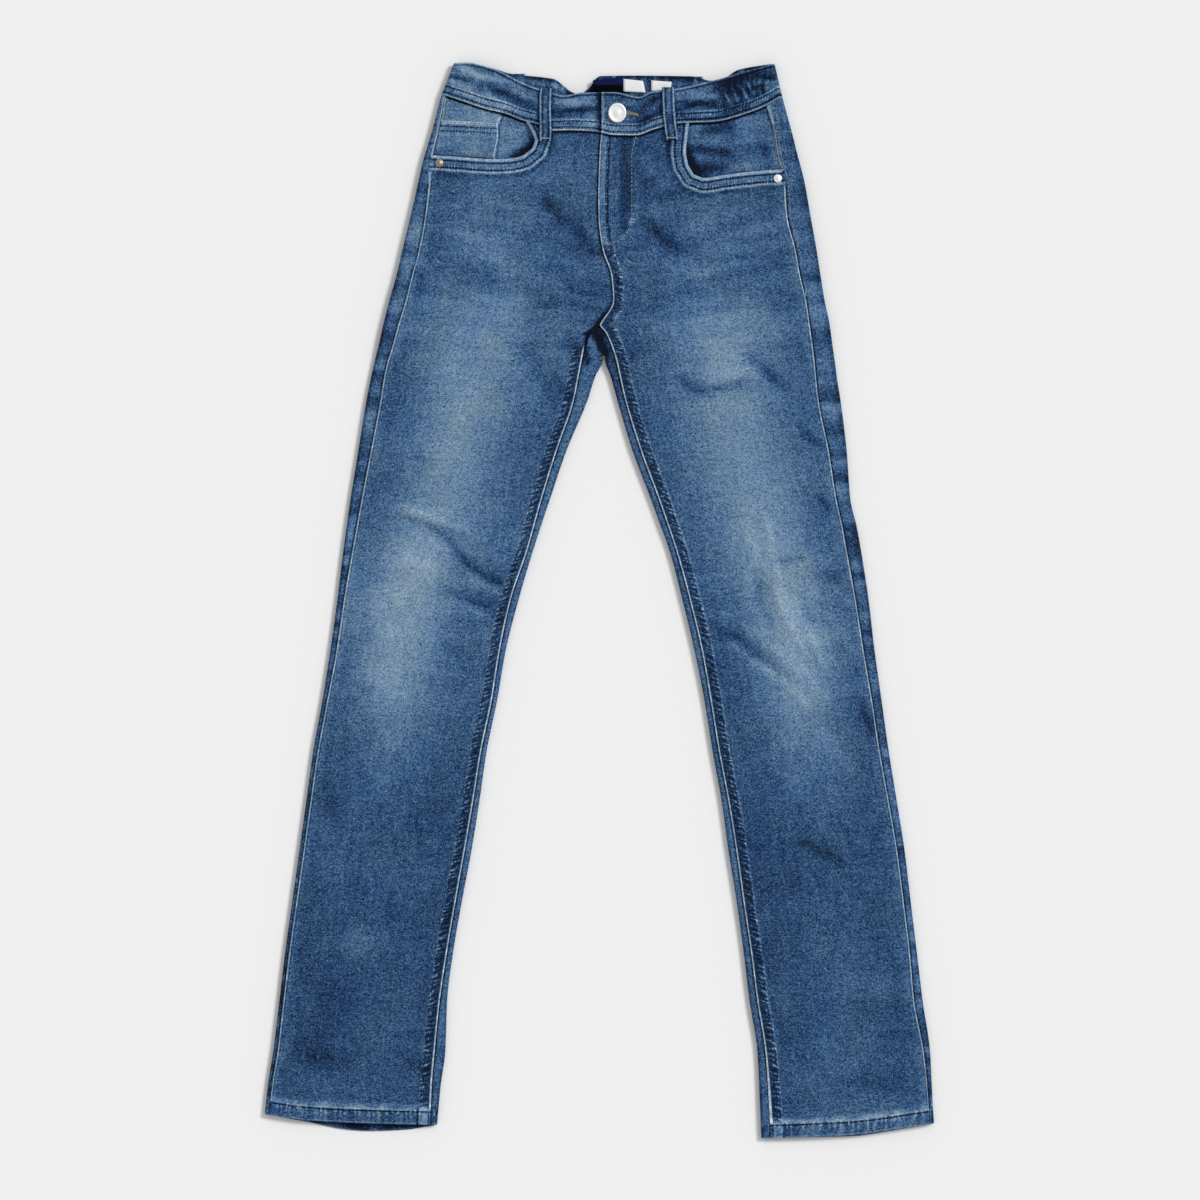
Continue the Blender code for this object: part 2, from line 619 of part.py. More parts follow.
def yoke(side, material):
    """Back yoke of one side, from the side seam round the fold to the centre back."""
    columns = zone_steps((("strip_out", 2), ("bend_out", 4), ("floor", 8)))
    low, high = [], []
    for zone, part in columns:
        y = yoke_seam(zone, part) + SEAM_GAP / 2
        xo, zo, xi, zi = (float(v) for v in back_point(side, y, zone, part))
        low.append(((xo, y, zo), (xi, y, zi)))
        xo, zo, xi, zi = (float(v) for v in back_point(side, 438.0, zone, part))
        corner = fold_out[side](438.0) - SIDES[side][1] * FOLD_RADIUS
        seams = {"strip_out": seam_line(side, xo), "bend_out": back_line(corner),
                 "floor": back_line(xo)}
        y = float(seams[zone]) - SEAM_GAP / 2
        high.append(((xo, y, zo), (xi, y, zi)))
    outer, inner = [], []
    for t in (0.0, 0.5, 1.0):
        for a, b in zip(low, high):
            outer.append(tuple(Vector(a[0]).lerp(Vector(b[0]), t)))
            inner.append(tuple(Vector(a[1]).lerp(Vector(b[1]), t)))
    cells = grid_cells(3, len(columns), None, flip=side == "left")
    return close_wall("yoke_" + side, outer, inner, cells, material)


def front_outline(side):
    """Outline of a front panel: side seam, pocket scoop, waist seam, centre front, inseam, hem."""
    sign = SIDES[side][1]
    half_gap = SEAM_GAP / 2
    corner = SCOOP_LINE[side][-1][1]
    rows = [y for y in LEG_ROWS + SEAT_ROWS if y < corner - 8.0]
    points = []
    for y in rows:
        x = float(side_seam[side](y))
        shift = float(hem_shift(side, x, y, hem_front))
        points.append((x - sign * half_gap, y + shift))
    points += list(reversed(SCOOP_LINE[side]))[1:-1]
    start, end = SCOOP_LINE[side][0][0] + 0.3, float(centre_front(405.0)) + sign * half_gap
    inner = [x for x in BAND_X[side] if (x - start) * (x - end) < -1.0]
    for x in [start] + sorted(inner, reverse=side == "right") + [end]:
        points.append((x, float(seam_line(side, x)) - half_gap))
    inner_rows = CENTRE_ROWS + [y for y in reversed(LEG_ROWS + SEAT_ROWS) if y < 238.0]
    for y in inner_rows:
        x = float(inner_edge(side, y))
        shift = float(hem_shift(side, x, y, hem_front))
        points.append((x + sign * half_gap, y + shift))
    ends = points[-1][0], points[0][0]
    for i in range(1, 11):
        x = ends[0] + (ends[1] - ends[0]) * i / 11
        points.append((x, float(hem_front[side](x))))
    return points


def front_panel(side, material):
    """Front of one leg lying on its back."""
    sign = SIDES[side][1]
    outline = front_outline(side)
    fill = []
    rows = LEG_ROWS[2:] + SEAT_ROWS[:-1] + [384.0, 398.0]
    for y in rows:
        a, b = float(side_seam[side](y)), float(inner_edge(side, y))
        fill += [(a + (b - a) * (i + 0.5) / 9.0, y) for i in range(9)]
    for ax, ay, bx, by, wide, _ in FOLDS:
        length = math.hypot(bx - ax, by - ay)
        nx, ny = -(by - ay) / length, (bx - ax) / length
        count = max(2, round(length / 14.0))
        for i in range(count + 1):
            t = i / count
            for off in (-wide, 0.0, wide):
                fill.append((ax + (bx - ax) * t + nx * off, ay + (by - ay) * t + ny * off))
    spread = []
    for p in fill:
        if all(math.hypot(p[0] - q[0], p[1] - q[1]) > POINT_SPACING for q in spread):
            spread.append(p)
    lines = []
    for depth in (HEM_DEPTH, HEM_DEPTH + RAMP):
        lines.append([(x, float(hem_front[side](x)) + depth)
                      for x in np.linspace(side_seam[side](-430.0), inner_edge(side, -430.0), 12)])
    for depth in (SEAM_BAND, SEAM_BAND + RAMP):
        lines.append([(float(inner_edge(side, y)) + sign * depth, y)
                      for y in [-400.0 + 31.0 * i for i in range(20)] + [214.0]])
    for depth in (POCKET_HEM, POCKET_HEM + RAMP):
        lines.append(offset_line(SCOOP_LINE[side], depth * sign))
    if sign > 0:
        run = spline(FLY_CURVE, 14.0)
        lines += [run, offset_line(run, -RAMP)]

    def upper(x, y):
        return top(side, x, y) + lift(side, x, y) + front_relief(side, x, y)

    def lower(x, y):
        return top(side, x, y) + lift(side, x, y) - CLOTH

    return sheet("front_" + side, outline, spread, lines, upper, lower, material, 3.6)


def lift(side, x, y):
    """The pocket mouth standing a little off its facing."""
    cx, cy, wide, high = LIFTS[side]
    return high * np.exp(-((x - cx) ** 2 + (y - cy) ** 2) / wide ** 2)


def offset_line(points, away):
    """A line moved sideways; positive goes to the right of its direction."""
    out = []
    for i, p in enumerate(points):
        a, b = points[max(0, i - 1)], points[min(len(points) - 1, i + 1)]
        length = math.hypot(b[0] - a[0], b[1] - a[1])
        out.append((p[0] + (b[1] - a[1]) / length * away, p[1] - (b[0] - a[0]) / length * away))
    return out


def pocket_facing(side, material):
    """Facing that shows in the front pocket mouth and runs in under the front."""
    sign = SIDES[side][1]
    half_gap = SEAM_GAP / 2
    edge = spline(FACING_EDGE[side], 12.0)
    end_x = float(side_seam[side](436.0 if side == "left" else 429.0)) - sign * half_gap
    outline = []
    inner = [x for x in BAND_X[side] if (x - end_x) * (x - edge[0][0]) < -1.0]
    for x in [end_x] + sorted(inner, reverse=side == "right") + [edge[0][0]]:
        outline.append((x, float(seam_line(side, x)) - half_gap))
    outline += edge[1:-1]
    for y in [edge[-1][1], 384.0, 395.0, YOKE_SIDE, 418.0 if side == "left" else 413.0]:
        outline.append((float(side_seam[side](y)) - sign * half_gap, float(y)))
    fill = [(x, y) for x in np.arange(min(p[0] for p in outline), max(p[0] for p in outline), 14.0)
            for y in (368.0, 380.0, 392.0, 404.0, 416.0, 426.0)]

    def upper(x, y):
        return top(side, x, y) - CLOTH - FACING_DROP

    def lower(x, y):
        return upper(x, y) - FACING_WALL

    return sheet("facing_" + side, outline, fill, [], upper, lower, material, 6.0)


def coin_pocket(facing, material):
    """Small pocket sewn on the left facing, ending where the front covers it."""
    height = covering([facing])
    outline = spline(COIN_EDGE[:3], 12.0)[:-1] + spline(COIN_EDGE[2:6], 12.0)[:-1]
    outline += spline(COIN_EDGE[5:], 12.0)
    outline = [(max(x, float(side_seam["left"](y)) + 0.4), y) for x, y in outline]
    fill = [(x, y) for x in np.arange(-130.0, -90.0, 12.0) for y in (396.0, 406.0)]
    row = [(x, 407.5) for x in np.linspace(-139.0, -89.0, 6)]

    def lower(x, y):
        return height(x, y) + SEAM_GAP

    def upper(x, y):
        return lower(x, y) + COIN_WALL + COIN_HEM * float(ease((y - 407.0) / RAMP))

    return sheet("coin_pocket", outline, fill, [row], upper, lower, material, 4.0)


def fly_facing(material):
    """Strip sewn behind the fly; its J edge is the stitched line on the front."""
    curve = spline(FLY_CURVE, 12.0)
    outline = [(x - 1.0, y - 1.0) for x, y in curve[:-1]]
    outline += [(float(inner_edge("right", y)) + 1.2, y) for y in (312.0, 330.0, 350.0, 375.0, 400.0)]
    fill = [(x, y) for x in (9.0, 19.0) for y in np.arange(320.0, 400.0, 13.0)]

    def upper(x, y):
        return top("right", x, y) - CLOTH - FACING_DROP

    def lower(x, y):
        return upper(x, y) - FACING_WALL

    return sheet("fly_facing", outline, fill, [], upper, lower, material, 4.0)


def band_front(side, x_seam, gathered):
    """One column up the front of the band: outer x, y, z and inner z."""
    sign = SIDES[side][1]
    start = BAND_X[side][0]
    share = (x_seam - start) / (BAND_LOW[side] - sign * BAND_RADIUS - start)
    x_top = start + (BAND_HIGH[side] - sign * BAND_RADIUS - start) * share
    y_seam, y_top = waist_seam(x_seam) + SEAM_GAP / 2, band_top_front(x_top)
    rows = []
    for up, relief in BAND_ROWS:
        x, y = x_seam + (x_top - x_seam) * up, y_seam + (y_top - y_seam) * up
        lap = OVERLAP_LIFT * (1 - ease((x - 40.0) / 12.0)) if side == "right" else 0.0
        settle = ease(up / 0.12)
        z = top(side, x, y) + BAND_RELIEF + lap + relief + settle * folds(x, y, BAND_FOLDS)
        z += GATHER * settle * gathered
        rows.append((x, y, z, x, z - BAND_WALL))
    return rows


def band_bend(side, turn):
    """One column round a side fold, from the front at 0 to the back at 1."""
    sign = SIDES[side][1]
    angle = math.radians(90.0 - 180.0 * turn)
    low, high = BAND_LOW[side] - sign * BAND_RADIUS, BAND_HIGH[side] - sign * BAND_RADIUS
    y_seam = waist_seam(low) + (back_line(low) - waist_seam(low)) * turn + SEAM_GAP / 2
    y_top = band_top_front(high) + (band_top_back(high) - band_top_front(high)) * turn
    level = SEAT_LIFT + BAND_RADIUS
    thin = BAND_RADIUS - BAND_WALL
    rows = []
    for up, _ in BAND_ROWS:
        middle = low + (high - low) * up
        rows.append((middle + sign * BAND_RADIUS * math.cos(angle), y_seam + (y_top - y_seam) * up,
                     level + BAND_RADIUS * math.sin(angle),
                     middle + sign * thin * math.cos(angle), level + thin * math.sin(angle)))
    return rows


def band_back(step):
    """One column of the back of the band, gathered over its middle."""
    share = step / GATHER_STEPS
    ends = {}
    for name, row in (("low", BAND_LOW), ("high", BAND_HIGH)):
        first, last = row["left"] + BAND_RADIUS, row["right"] - BAND_RADIUS
        ends[name] = first + (last - first) * share
    y_seam, y_top = back_line(ends["low"]) + SEAM_GAP / 2, band_top_back(ends["high"])
    rows = []
    for up, _ in BAND_ROWS:
        x = ends["low"] + (ends["high"] - ends["low"]) * up
        middle = ease((x + 60.0) / 15.0) - ease((x - 95.0) / 15.0)
        z = SEAT_LIFT + GATHER * (step % 2) * middle * min(1.0, 2.0 * up)
        rows.append((x, y_seam + (y_top - y_seam) * up, z, x, z + BAND_WALL))
    return rows


def waistband(material):
    """One band all round: underlap, left front, back on the floor side, right front overlap."""
    smocked = [x for x in BAND_X["right"] if x > 114.0]
    plain = [x for x in BAND_X["right"] if x < 114.0]
    columns = [band_front("left", x, 0) for x in BAND_X["left"][:-1]]
    columns += [band_bend("left", i / 4) for i in range(5)]
    columns += [band_back(i) for i in range(1, GATHER_STEPS)]
    columns += [band_bend("right", 1 - i / 4) for i in range(5)]
    columns += [band_front("right", x, i % 2) for i, x in enumerate(reversed(smocked[:-1]))]
    columns += [band_front("right", x, 0) for x in reversed(plain)]
    outer = [(float(x), float(y), float(z)) for rows in columns for x, y, z, _, _ in rows]
    inner = [(float(x), float(y), float(z)) for rows in columns for _, y, _, x, z in rows]
    cells = grid_cells(len(columns), len(BAND_ROWS))
    return close_wall("waistband", outer, inner, cells, material)


def belt_loop(name, upper_end, lower_end, width, below, material, bulge=0.9):
    """A loop laid over the band, sewn down at both ends."""
    outer, inner = [], []
    steps = 10
    for i in range(steps + 1):
        t = i / steps
        cx = upper_end[0] + (lower_end[0] - upper_end[0]) * t
        cy = upper_end[1] + (lower_end[1] - upper_end[1]) * t
        base = max(below(cx + dx, cy) for dx in (-width / 2, 0.0, width / 2)) if below else 0.0
        base += (SEAM_GAP if below else 0.0) + bulge * math.sin(math.pi * min(1.0, t / 0.85)) ** 2
        for side in (-1.0, -0.72, 0.72, 1.0):
            crown = 0.0 if abs(side) == 1.0 else LOOP_CROWN
            outer.append((cx + side * width / 2, cy, base + CLOTH + crown))
            inner.append((cx + side * width / 2, cy, base))
    cells = grid_cells(steps + 1, 4, None, flip=True)
    return close_wall(name, outer, inner, cells, material)


def back_pocket(side, material):
    """Five-sided patch pocket under the seat, flat on the floor."""
    sign = SIDES[side][1]
    cx = sign * 80.0 + 3.0
    outline = [(cx - 52.0, 358.0), (cx, 360.0), (cx + 52.0, 358.0), (cx + 46.0, 276.0),
               (cx, 250.0), (cx - 46.0, 276.0)]
    fill = [(cx + dx, y) for dx in (-24.0, 0.0, 24.0) for y in (285.0, 310.0, 335.0)]
    return sheet("pocket_back_" + side, outline, fill, [], lambda x, y: CLOTH, lambda x, y: 0.0,
                 material, 6.0)


def label(name, outline, material):
    """A small bare label lying on the inside of the back band, clear of its gathers."""
    base = SEAT_LIFT + BAND_WALL + GATHER + SEAM_GAP
    middle = [(sum(p[0] for p in outline) / len(outline), sum(p[1] for p in outline) / len(outline))]
    return sheet(name, outline, middle, [], lambda x, y: base + LABEL_WALL, lambda x, y: base, material)


def make_material(name):
    """A plain material in its stated colour."""
    colour, roughness, metallic = MATERIALS[name]
    material = bpy.data.materials.new(name)
    material.use_nodes = True
    shader = material.node_tree.nodes["Principled BSDF"]
    shader.inputs["Base Color"].default_value = colour
    shader.inputs["Roughness"].default_value = roughness
    shader.inputs["Metallic"].default_value = metallic
    material.diffuse_color = colour
    return material


def build():
    """Every piece of the jeans."""
    for obj in list(bpy.data.objects):
        bpy.data.objects.remove(obj, do_unlink=True)
    paint = {name: make_material(name) for name in MATERIALS}
    denim = paint["denim"]
    fronts, facings = {}, {}
    for side in SIDES:
        back_panel(side, denim)
        yoke(side, denim)
        fronts[side] = front_panel(side, denim)
        facings[side] = pocket_facing(side, denim)
        back_pocket(side, denim)
    coin_pocket(facings["left"], denim)
    fly_facing(denim)
    band = waistband(denim)
    tops = covering([fronts["left"], fronts["right"], band])
    for side, (upper_end, lower_end, width) in FRONT_LOOPS.items():
        belt_loop("loop_front_" + side, upper_end, lower_end, width, tops, denim)
    for name, x in BACK_LOOPS.items():
        y = float(back_waist(x))
        belt_loop("loop_back_" + name, (x, y + 36.0), (x, y - 10.0), BACK_LOOP_WIDTH, None, denim, 0.0)
    seat_z = tops(*BUTTON, 7.0) + SEAM_GAP
    spin("button", BUTTON_PROFILE, 24, (*BUTTON, seat_z), paint["button_metal"])
    for side, place in RIVETS.items():
        seat_z = tops(*place, 2.5) + SEAM_GAP
        spin("rivet_" + side, RIVET_PROFILE, 16, (*place, seat_z), paint["rivet_metal"])
    for name, (colour, corners) in LABELS.items():
        label(name, list(corners), paint[colour])


build()
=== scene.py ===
"""Looks of the skinny jeans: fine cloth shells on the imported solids, stitching, metal and light.

Sizes are in millimetres, and MM turns them into Blender's metres. Seen from above, +Y is the waist,
and left and right are the viewer's.
"""
from functools import reduce
import math

import bpy
import numpy as np
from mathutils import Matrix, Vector
from mathutils.bvhtree import BVHTree


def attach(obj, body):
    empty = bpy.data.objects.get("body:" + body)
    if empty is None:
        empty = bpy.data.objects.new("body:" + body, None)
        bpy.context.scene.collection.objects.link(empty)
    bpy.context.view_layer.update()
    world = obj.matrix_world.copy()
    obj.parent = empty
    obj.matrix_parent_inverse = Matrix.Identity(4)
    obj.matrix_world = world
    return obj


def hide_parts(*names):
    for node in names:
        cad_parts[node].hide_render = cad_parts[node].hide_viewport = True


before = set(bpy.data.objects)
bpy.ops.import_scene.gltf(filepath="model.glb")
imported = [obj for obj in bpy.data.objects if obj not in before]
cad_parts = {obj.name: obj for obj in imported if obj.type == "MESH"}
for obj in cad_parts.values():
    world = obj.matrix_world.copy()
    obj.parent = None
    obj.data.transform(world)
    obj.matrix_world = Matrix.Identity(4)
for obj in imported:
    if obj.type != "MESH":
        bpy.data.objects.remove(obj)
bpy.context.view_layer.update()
scene = bpy.context.scene

# Named sizes
MM = 0.001
CLOTH = 1.2
SEAM_GAP = 0.3
FOLD_RADIUS = 2.6
FILL = 1.1
SEAT_LIFT = 1.5
HEM_DEPTH = 13
HEM_RELIEF = 0.5
POCKET_HEM = 12
POCKET_RELIEF = 0.7
SEAM_BAND = 9
SEAM_RELIEF = 0.6
FLY_RELIEF = 0.7
RAMP = 2
BAND_WALL = 1.8
BAND_RADIUS = 2.9
BAND_RELIEF = 0.6
UNDERLAP_END = 36
OVERLAP_LIFT = BAND_WALL + 0.35
APEX = 211
CROTCH = 236
CENTRE_BACK = 3.2
GATHER = 0.7
YOKE_SIDE = 406
YOKE_CENTRE = 372

# Cross-sections, one row each: y, outer fold, side seam, inner seam, inner fold.
# Above the crotch the inner seam is the centre front line.
LEFT = (
    (439, -137.9, -134.4, 1.5, 3.2), (408.5, -145.7, -140.1, 1.3, 3.2),
    (382.5, -153.6, -146.2, -0.4, 3.2), (347.5, -161.4, -150.1, -1.7, 3.2),
    (304, -171.8, -157.5, 2.2, 3.2), (282, -177, -163.6, 9.6, 3.2),
    (260.5, -183.1, -168.8, 11.2, 3.2), (239.5, -188.4, -175.3, -0.4, 3.2),
    (230, -190.5, -177.9, -10.9, 3.2), (220.5, -192.7, -180.5, -13.5, 3),
    (206.5, -196.2, -184.9, -16.1, 1.8), (195, -198.8, -187.5, -18.3, -3.9),
    (173.5, -203.1, -191, -22.6, -10.9), (130, -210.1, -199.2, -37.4, -29.1),
    (86.5, -217.1, -207.5, -50.9, -43.9), (43, -223.2, -215.3, -63.1, -58.2),
    (0, -228.4, -222.7, -77.5, -70.9), (-44, -234.5, -229.2, -87, -82),
    (-87.5, -241.4, -237.3, -94, -89.5), (-131, -249.3, -245.4, -103.1, -98.5),
    (-174.5, -255.3, -251.7, -110.1, -104.8), (-218, -261.4, -257.8, -117.5, -111.8),
    (-261.5, -267.5, -264, -125.3, -120), (-305, -273.6, -270.1, -132.7, -127.5),
    (-348.5, -278.8, -275.3, -139.2, -132.9), (-392, -284.1, -280.4, -143.6, -134.5),
    (-418, -288.4, -284.8, -146.2, -138.8), (-447, -291.8, -288.2, -147.6, -141.9),
)
RIGHT = (
    (438, 158.8, 144, 1.5, 3.2), (413, 165.3, 150.4, 1.3, 3.2), (390, 171, 153.6, -0.4, 3.2),
    (363, 177.9, 160.3, -1.7, 3.2), (333.5, 183.1, 162.8, -1.3, 3.2), (304, 188.4, 170.1, 2.2, 3.2),
    (282, 191.8, 174, 9.6, 3.2), (260.5, 195.3, 179.2, 11.2, 3.2), (239.5, 199.7, 182.3, -0.4, 3.2),
    (232.5, 200.7, 183.2, 4.6, 3.2), (220.5, 202.3, 184.9, 10, 3.4),
    (206.5, 204.4, 186.6, 14.4, 4.8), (195, 205.8, 187.7, 16.8, 9.1),
    (173.5, 209.2, 190.1, 21.8, 15.2), (130, 214.5, 198.8, 35.2, 28.3),
    (86.5, 217.9, 205.8, 51.3, 44.8), (65, 223, 210.5, 58.7, 52.6), (43, 227, 214.5, 66.1, 60.5),
    (0, 233.6, 222.3, 77.9, 71.8), (-44, 238.8, 229.2, 88.3, 82.2), (-87.5, 244.9, 236.6, 96, 90.9),
    (-131, 251, 243.2, 103, 97.9), (-174.5, 258, 251, 111.3, 105.7),
    (-218, 264.9, 258.4, 118.3, 111.8), (-261.5, 270.1, 264, 124.4, 118.8),
    (-305, 275.4, 269.3, 130.9, 124.8), (-348.5, 280.6, 273.2, 136.6, 130.1),
    (-392, 287, 281.4, 143.6, 137), (-418, 288.6, 284.6, 146.2, 138.8),
    (-455, 291.2, 287.6, 148.9, 140.9),
)

# Centre front line shared by both fronts: y, x
CENTRE_FRONT = (
    (439, 1.5), (413, 1.3), (390, -0.4), (347.5, -1.7), (330, -1.3), (304, 2.2), (282, 9.6),
    (260.5, 11.2), (239.5, -0.4),
)

# Edges as x, y rows
WAIST_SEAM = (
    (-137.9, 439.5), (-118.8, 433.1), (-100.5, 426.9), (-83, 422.6), (-67.4, 416.6), (-52.6, 412.8),
    (-41.8, 407.6), (-27.4, 408), (-4.8, 407), (11.7, 403.8), (30.9, 403.5), (47.4, 408.8),
    (68.3, 414.1), (98.7, 415.4), (129.2, 423.3), (144, 429.3), (158.8, 438),
)
BAND_TOP_FRONT = (
    (-127, 466.8), (-116, 467), (-94.4, 462.4), (-66.1, 448.9), (-39.6, 439.8), (-31.8, 438.2),
    (-15.2, 440.8), (11.7, 441.1), (34.4, 436.9), (44.8, 441.6), (66.2, 444.1), (98.7, 451.4),
    (124.8, 458.7), (151.8, 466.6),
)
BAND_TOP_BACK = (
    (-127, 466.8), (-97.9, 463.5), (-76.1, 457.4), (-40.5, 453), (-25.7, 442.4), (-18.7, 439.5),
    (-11.7, 443), (0.4, 455.6), (27.4, 456), (80.5, 455.3), (96.1, 451.6), (106.6, 452.6),
    (120, 461), (151.8, 466.6),
)
BACK_WAIST = (
    (-135, 438.3), (-100, 427), (-60, 420), (-18, 412), (10, 417), (60, 419), (100, 419.5),
    (130, 427.5), (155.9, 436.3),
)
HEM_FRONT = {
    "left": ((-291.9, -447), (-255.3, -452), (-206.6, -454.6), (-141, -456.3)),
    "right": ((140, -468), (162.1, -467.4), (219.3, -464.8), (251.3, -460.8), (291.3, -454.8)),
}
HEM_BACK = {
    "left": (
        (-291.9, -447), (-249.3, -455.1), (-218.8, -460.7), (-200.5, -461.8), (-170.1, -460.7),
        (-141, -456.3),
    ),
    "right": ((140, -468), (219.3, -466.4), (251.3, -462), (291.3, -454.8)),
}
SCOOP = {
    "left": (
        (-64.5, 415.6), (-59.5, 407), (-56.2, 399.5), (-58.6, 392.5), (-66.5, 386.2), (-80, 383.3),
        (-104, 383.4), (-125, 385.2), (-145.4, 386.4),
    ),
    "right": (
        (77.3, 414.6), (75.6, 400), (74.6, 388), (76.4, 378), (81.5, 369.6), (90, 366.4),
        (104, 368.6), (130, 372), (157.6, 374.2),
    ),
}
FACING_EDGE = {
    "left": (
        (-48, 410), (-43.5, 398), (-49, 383), (-66, 372), (-90, 370), (-120, 372.5), (-147, 374),
    ),
    "right": (
        (64, 412.5), (61.5, 390), (64, 374), (76, 359.5), (95, 354.5), (125, 358.5), (159.6, 361),
    ),
}
COIN_EDGE = (
    (-138, 416.9), (-114, 415.8), (-89.2, 414.4), (-88.4, 403), (-90.6, 392), (-92, 384.2),
    (-104, 384.3), (-125, 386.1), (-144.6, 387.2),
)
FLY_CURVE = (
    (31.8, 403.2), (28.3, 389.3), (28, 365), (28, 340), (27.6, 329), (22.6, 317.5), (14.5, 311.2),
    (2.2, 309.6),
)

# Large folds: x and y at both ends, half width, height (troughs are negative)
FOLDS = (
    (-42, 349, -8, 304, 11, -1.5), (-69, 226, -40, 170, 9, -1.4), (-56, 244, -28, 196, 9, 1.3),
    (-178, 80, -136, 69, 7, 2.2), (-162, 64, -128, 57, 8, -1.5), (-128, 50, -92, 18, 8, -1.5),
    (-120, 62, -84, 34, 8, 1.8), (-116, 6, -92, -10, 7, -1.2), (-238, -158, -232, -194, 9, -1.2),
    (44, 322, 72, 303, 9, -1.3), (70, 194, 90, 181, 8, -1.4), (90, 181, 126, 189, 8, -1.4),
    (130, 211, 157, 185, 9, -1.3), (174, 149, 196, 135, 8, 1.6), (204, 80, 218, 57, 8, 1.8),
    (139, 39, 146, -15, 8, -1.5), (157, 0, 173, -34, 8, 2), (187, -32, 194, -53, 8, 1.8),
    (120, -32, 183, -96, 9, -1.6), (132, -28, 190, -84, 9, 1.9), (229, -93, 237, -118, 8, -1.2),
    (173, -209, 209, -228, 9, -1.1),
)
# Folds of the front waistband, in the same columns
BAND_FOLDS = (
    (-106, 450, -62, 432, 4.5, -1), (-86, 434, -52, 421, 4, 0.7), (-40, 423, -6, 427, 4, -1),
    (-42, 433, -8, 432, 4.5, 0.7), (34, 414, 58, 428, 4.5, -0.9), (66, 426, 94, 434, 4, -1),
    (78, 440, 104, 446, 4, 0.7),
)
# Pocket mouths standing off their facings: x, y, half width, height
LIFTS = {"left": (-63, 395, 13, 1.3), "right": (80, 377, 13, 1)}

# Where the band turns round the side folds: x at its seam and at its top
BAND_LOW = {"left": -137.9, "right": 158.8}
BAND_HIGH = {"left": -127, "right": 151.8}
# Rows of the band: share of its height, relief of the roped lower edge
BAND_ROWS = ((0, 0), (0.12, 0.25), (0.22, 0.35), (0.31, -0.2), (0.55, 0), (0.8, 0), (1, 0))

# Front belt loops: upper end, lower end, width
FRONT_LOOPS = {
    "left": ((-46.8, 444.4), (-48, 398.6), 10.4),
    "right": ((58.6, 445.4), (62.4, 399.4), 10.8),
}
BACK_LOOPS = {"left": -70, "centre": 3.2, "right": 84}
BUTTON = (15, 423)
RIVETS = {"left": (-139.6, 379.6), "right": (154.4, 366.2)}
# Turned metal: radius, height
BUTTON_PROFILE = (
    (0.4, 0), (7, 0), (8.1, 0.35), (8.5, 0.9), (8.6, 1.5), (8.4, 2), (7.9, 2.4), (7.3, 2.5),
    (6.8, 2.35), (6.4, 2.1), (6, 2), (4.6, 1.95), (3.6, 2), (2.4, 2.2), (1.2, 2.35), (0.3, 2.4),
)
RIVET_PROFILE = (
    (0.3, 0), (3.1, 0), (3.5, 0.25), (3.6, 0.5), (3.3, 0.85), (2.6, 1), (2.2, 0.95), (1.8, 1.1),
    (1.2, 1.45), (0.5, 1.6), (0.1, 1.62),
)
# Bare labels inside the back band: material, corners
LABELS = {
    "label_waist": ("label_dark", ((-6, 442.5), (19.6, 441), (19.6, 454.8), (-6, 452))),
    "tab_a": ("label_light", ((20.4, 442), (39.6, 441), (37.4, 451.2), (20.4, 453))),
    "tab_b": ("label_light", ((44.5, 442.6), (61.5, 442.6), (62.2, 450.4), (44.5, 451.7))),
}

SIDES = {"left": (LEFT, -1), "right": (RIGHT, 1)}

# Lowest row of the legs, columns of the band and of the yokes' upper edge
HEM_ROW = -445
BAND_X = {
    "left": [UNDERLAP_END - 9.5 * i for i in range(19)],
    "right": [1.4 + 8.6 * i for i in range(14)] + [115.5 + 2.5 * i for i in range(16)] + [155.9],
}
BAND_X["left"][-1] = -135.0
BACK_X = [-135.3 + 17.3 * i for i in range(9)] + [156.2 - 19.1 * i for i in range(8)]


# Curves and surfaces
def smooth(rows, column=1):
    """A monotone cubic through one column of a table, as a function of its first column."""
    data = np.array(sorted((row[0], row[column]) for row in rows))
    xs, ys = data[:, 0], data[:, 1]
    run = np.diff(xs)
    rate = np.diff(ys) / run
    slope = np.zeros(len(xs))
    slope[0], slope[-1] = rate[0], rate[-1]
    same = rate[:-1] * rate[1:] > 0
    slope[1:-1][same] = 2 / (1 / rate[:-1][same] + 1 / rate[1:][same])

    def value(at):
        """The curve's height."""
        at = np.clip(at, xs[0], xs[-1])
        i = np.clip(np.searchsorted(xs, at) - 1, 0, len(xs) - 2)
        t = (at - xs[i]) / run[i]
        return ((2 * t ** 3 - 3 * t ** 2 + 1) * ys[i]
                + (t ** 3 - 2 * t ** 2 + t) * run[i] * slope[i]
                + (3 * t ** 2 - 2 * t ** 3) * ys[i + 1]
                + (t ** 3 - t ** 2) * run[i] * slope[i + 1])

    return value


def ease(t):
    """A soft step from 0 to 1."""
    t = np.clip(t, 0, 1)
    return t * t * (3 - 2 * t)


def spline(points, step):
    """Points about one step apart on a soft curve through the given ones."""
    pts = [Vector(p) for p in points]
    pts = [2 * pts[0] - pts[1]] + pts + [2 * pts[-1] - pts[-2]]
    out = []
    for a, b, c, d in zip(pts, pts[1:], pts[2:], pts[3:]):
        count = max(1, round((c - b).length / step))
        for i in range(count):
            t = i / count
            out.append(tuple(0.5 * (2 * b + (c - a) * t + (2 * a - 5 * b + 4 * c - d) * t ** 2
                                    + (3 * b - a - 3 * c + d) * t ** 3)))
    return out + [tuple(points[-1])]


def bell(away, wide):
    """One at zero, falling softly to nothing about two widths away."""
    return np.exp(-(away / wide) ** 2)


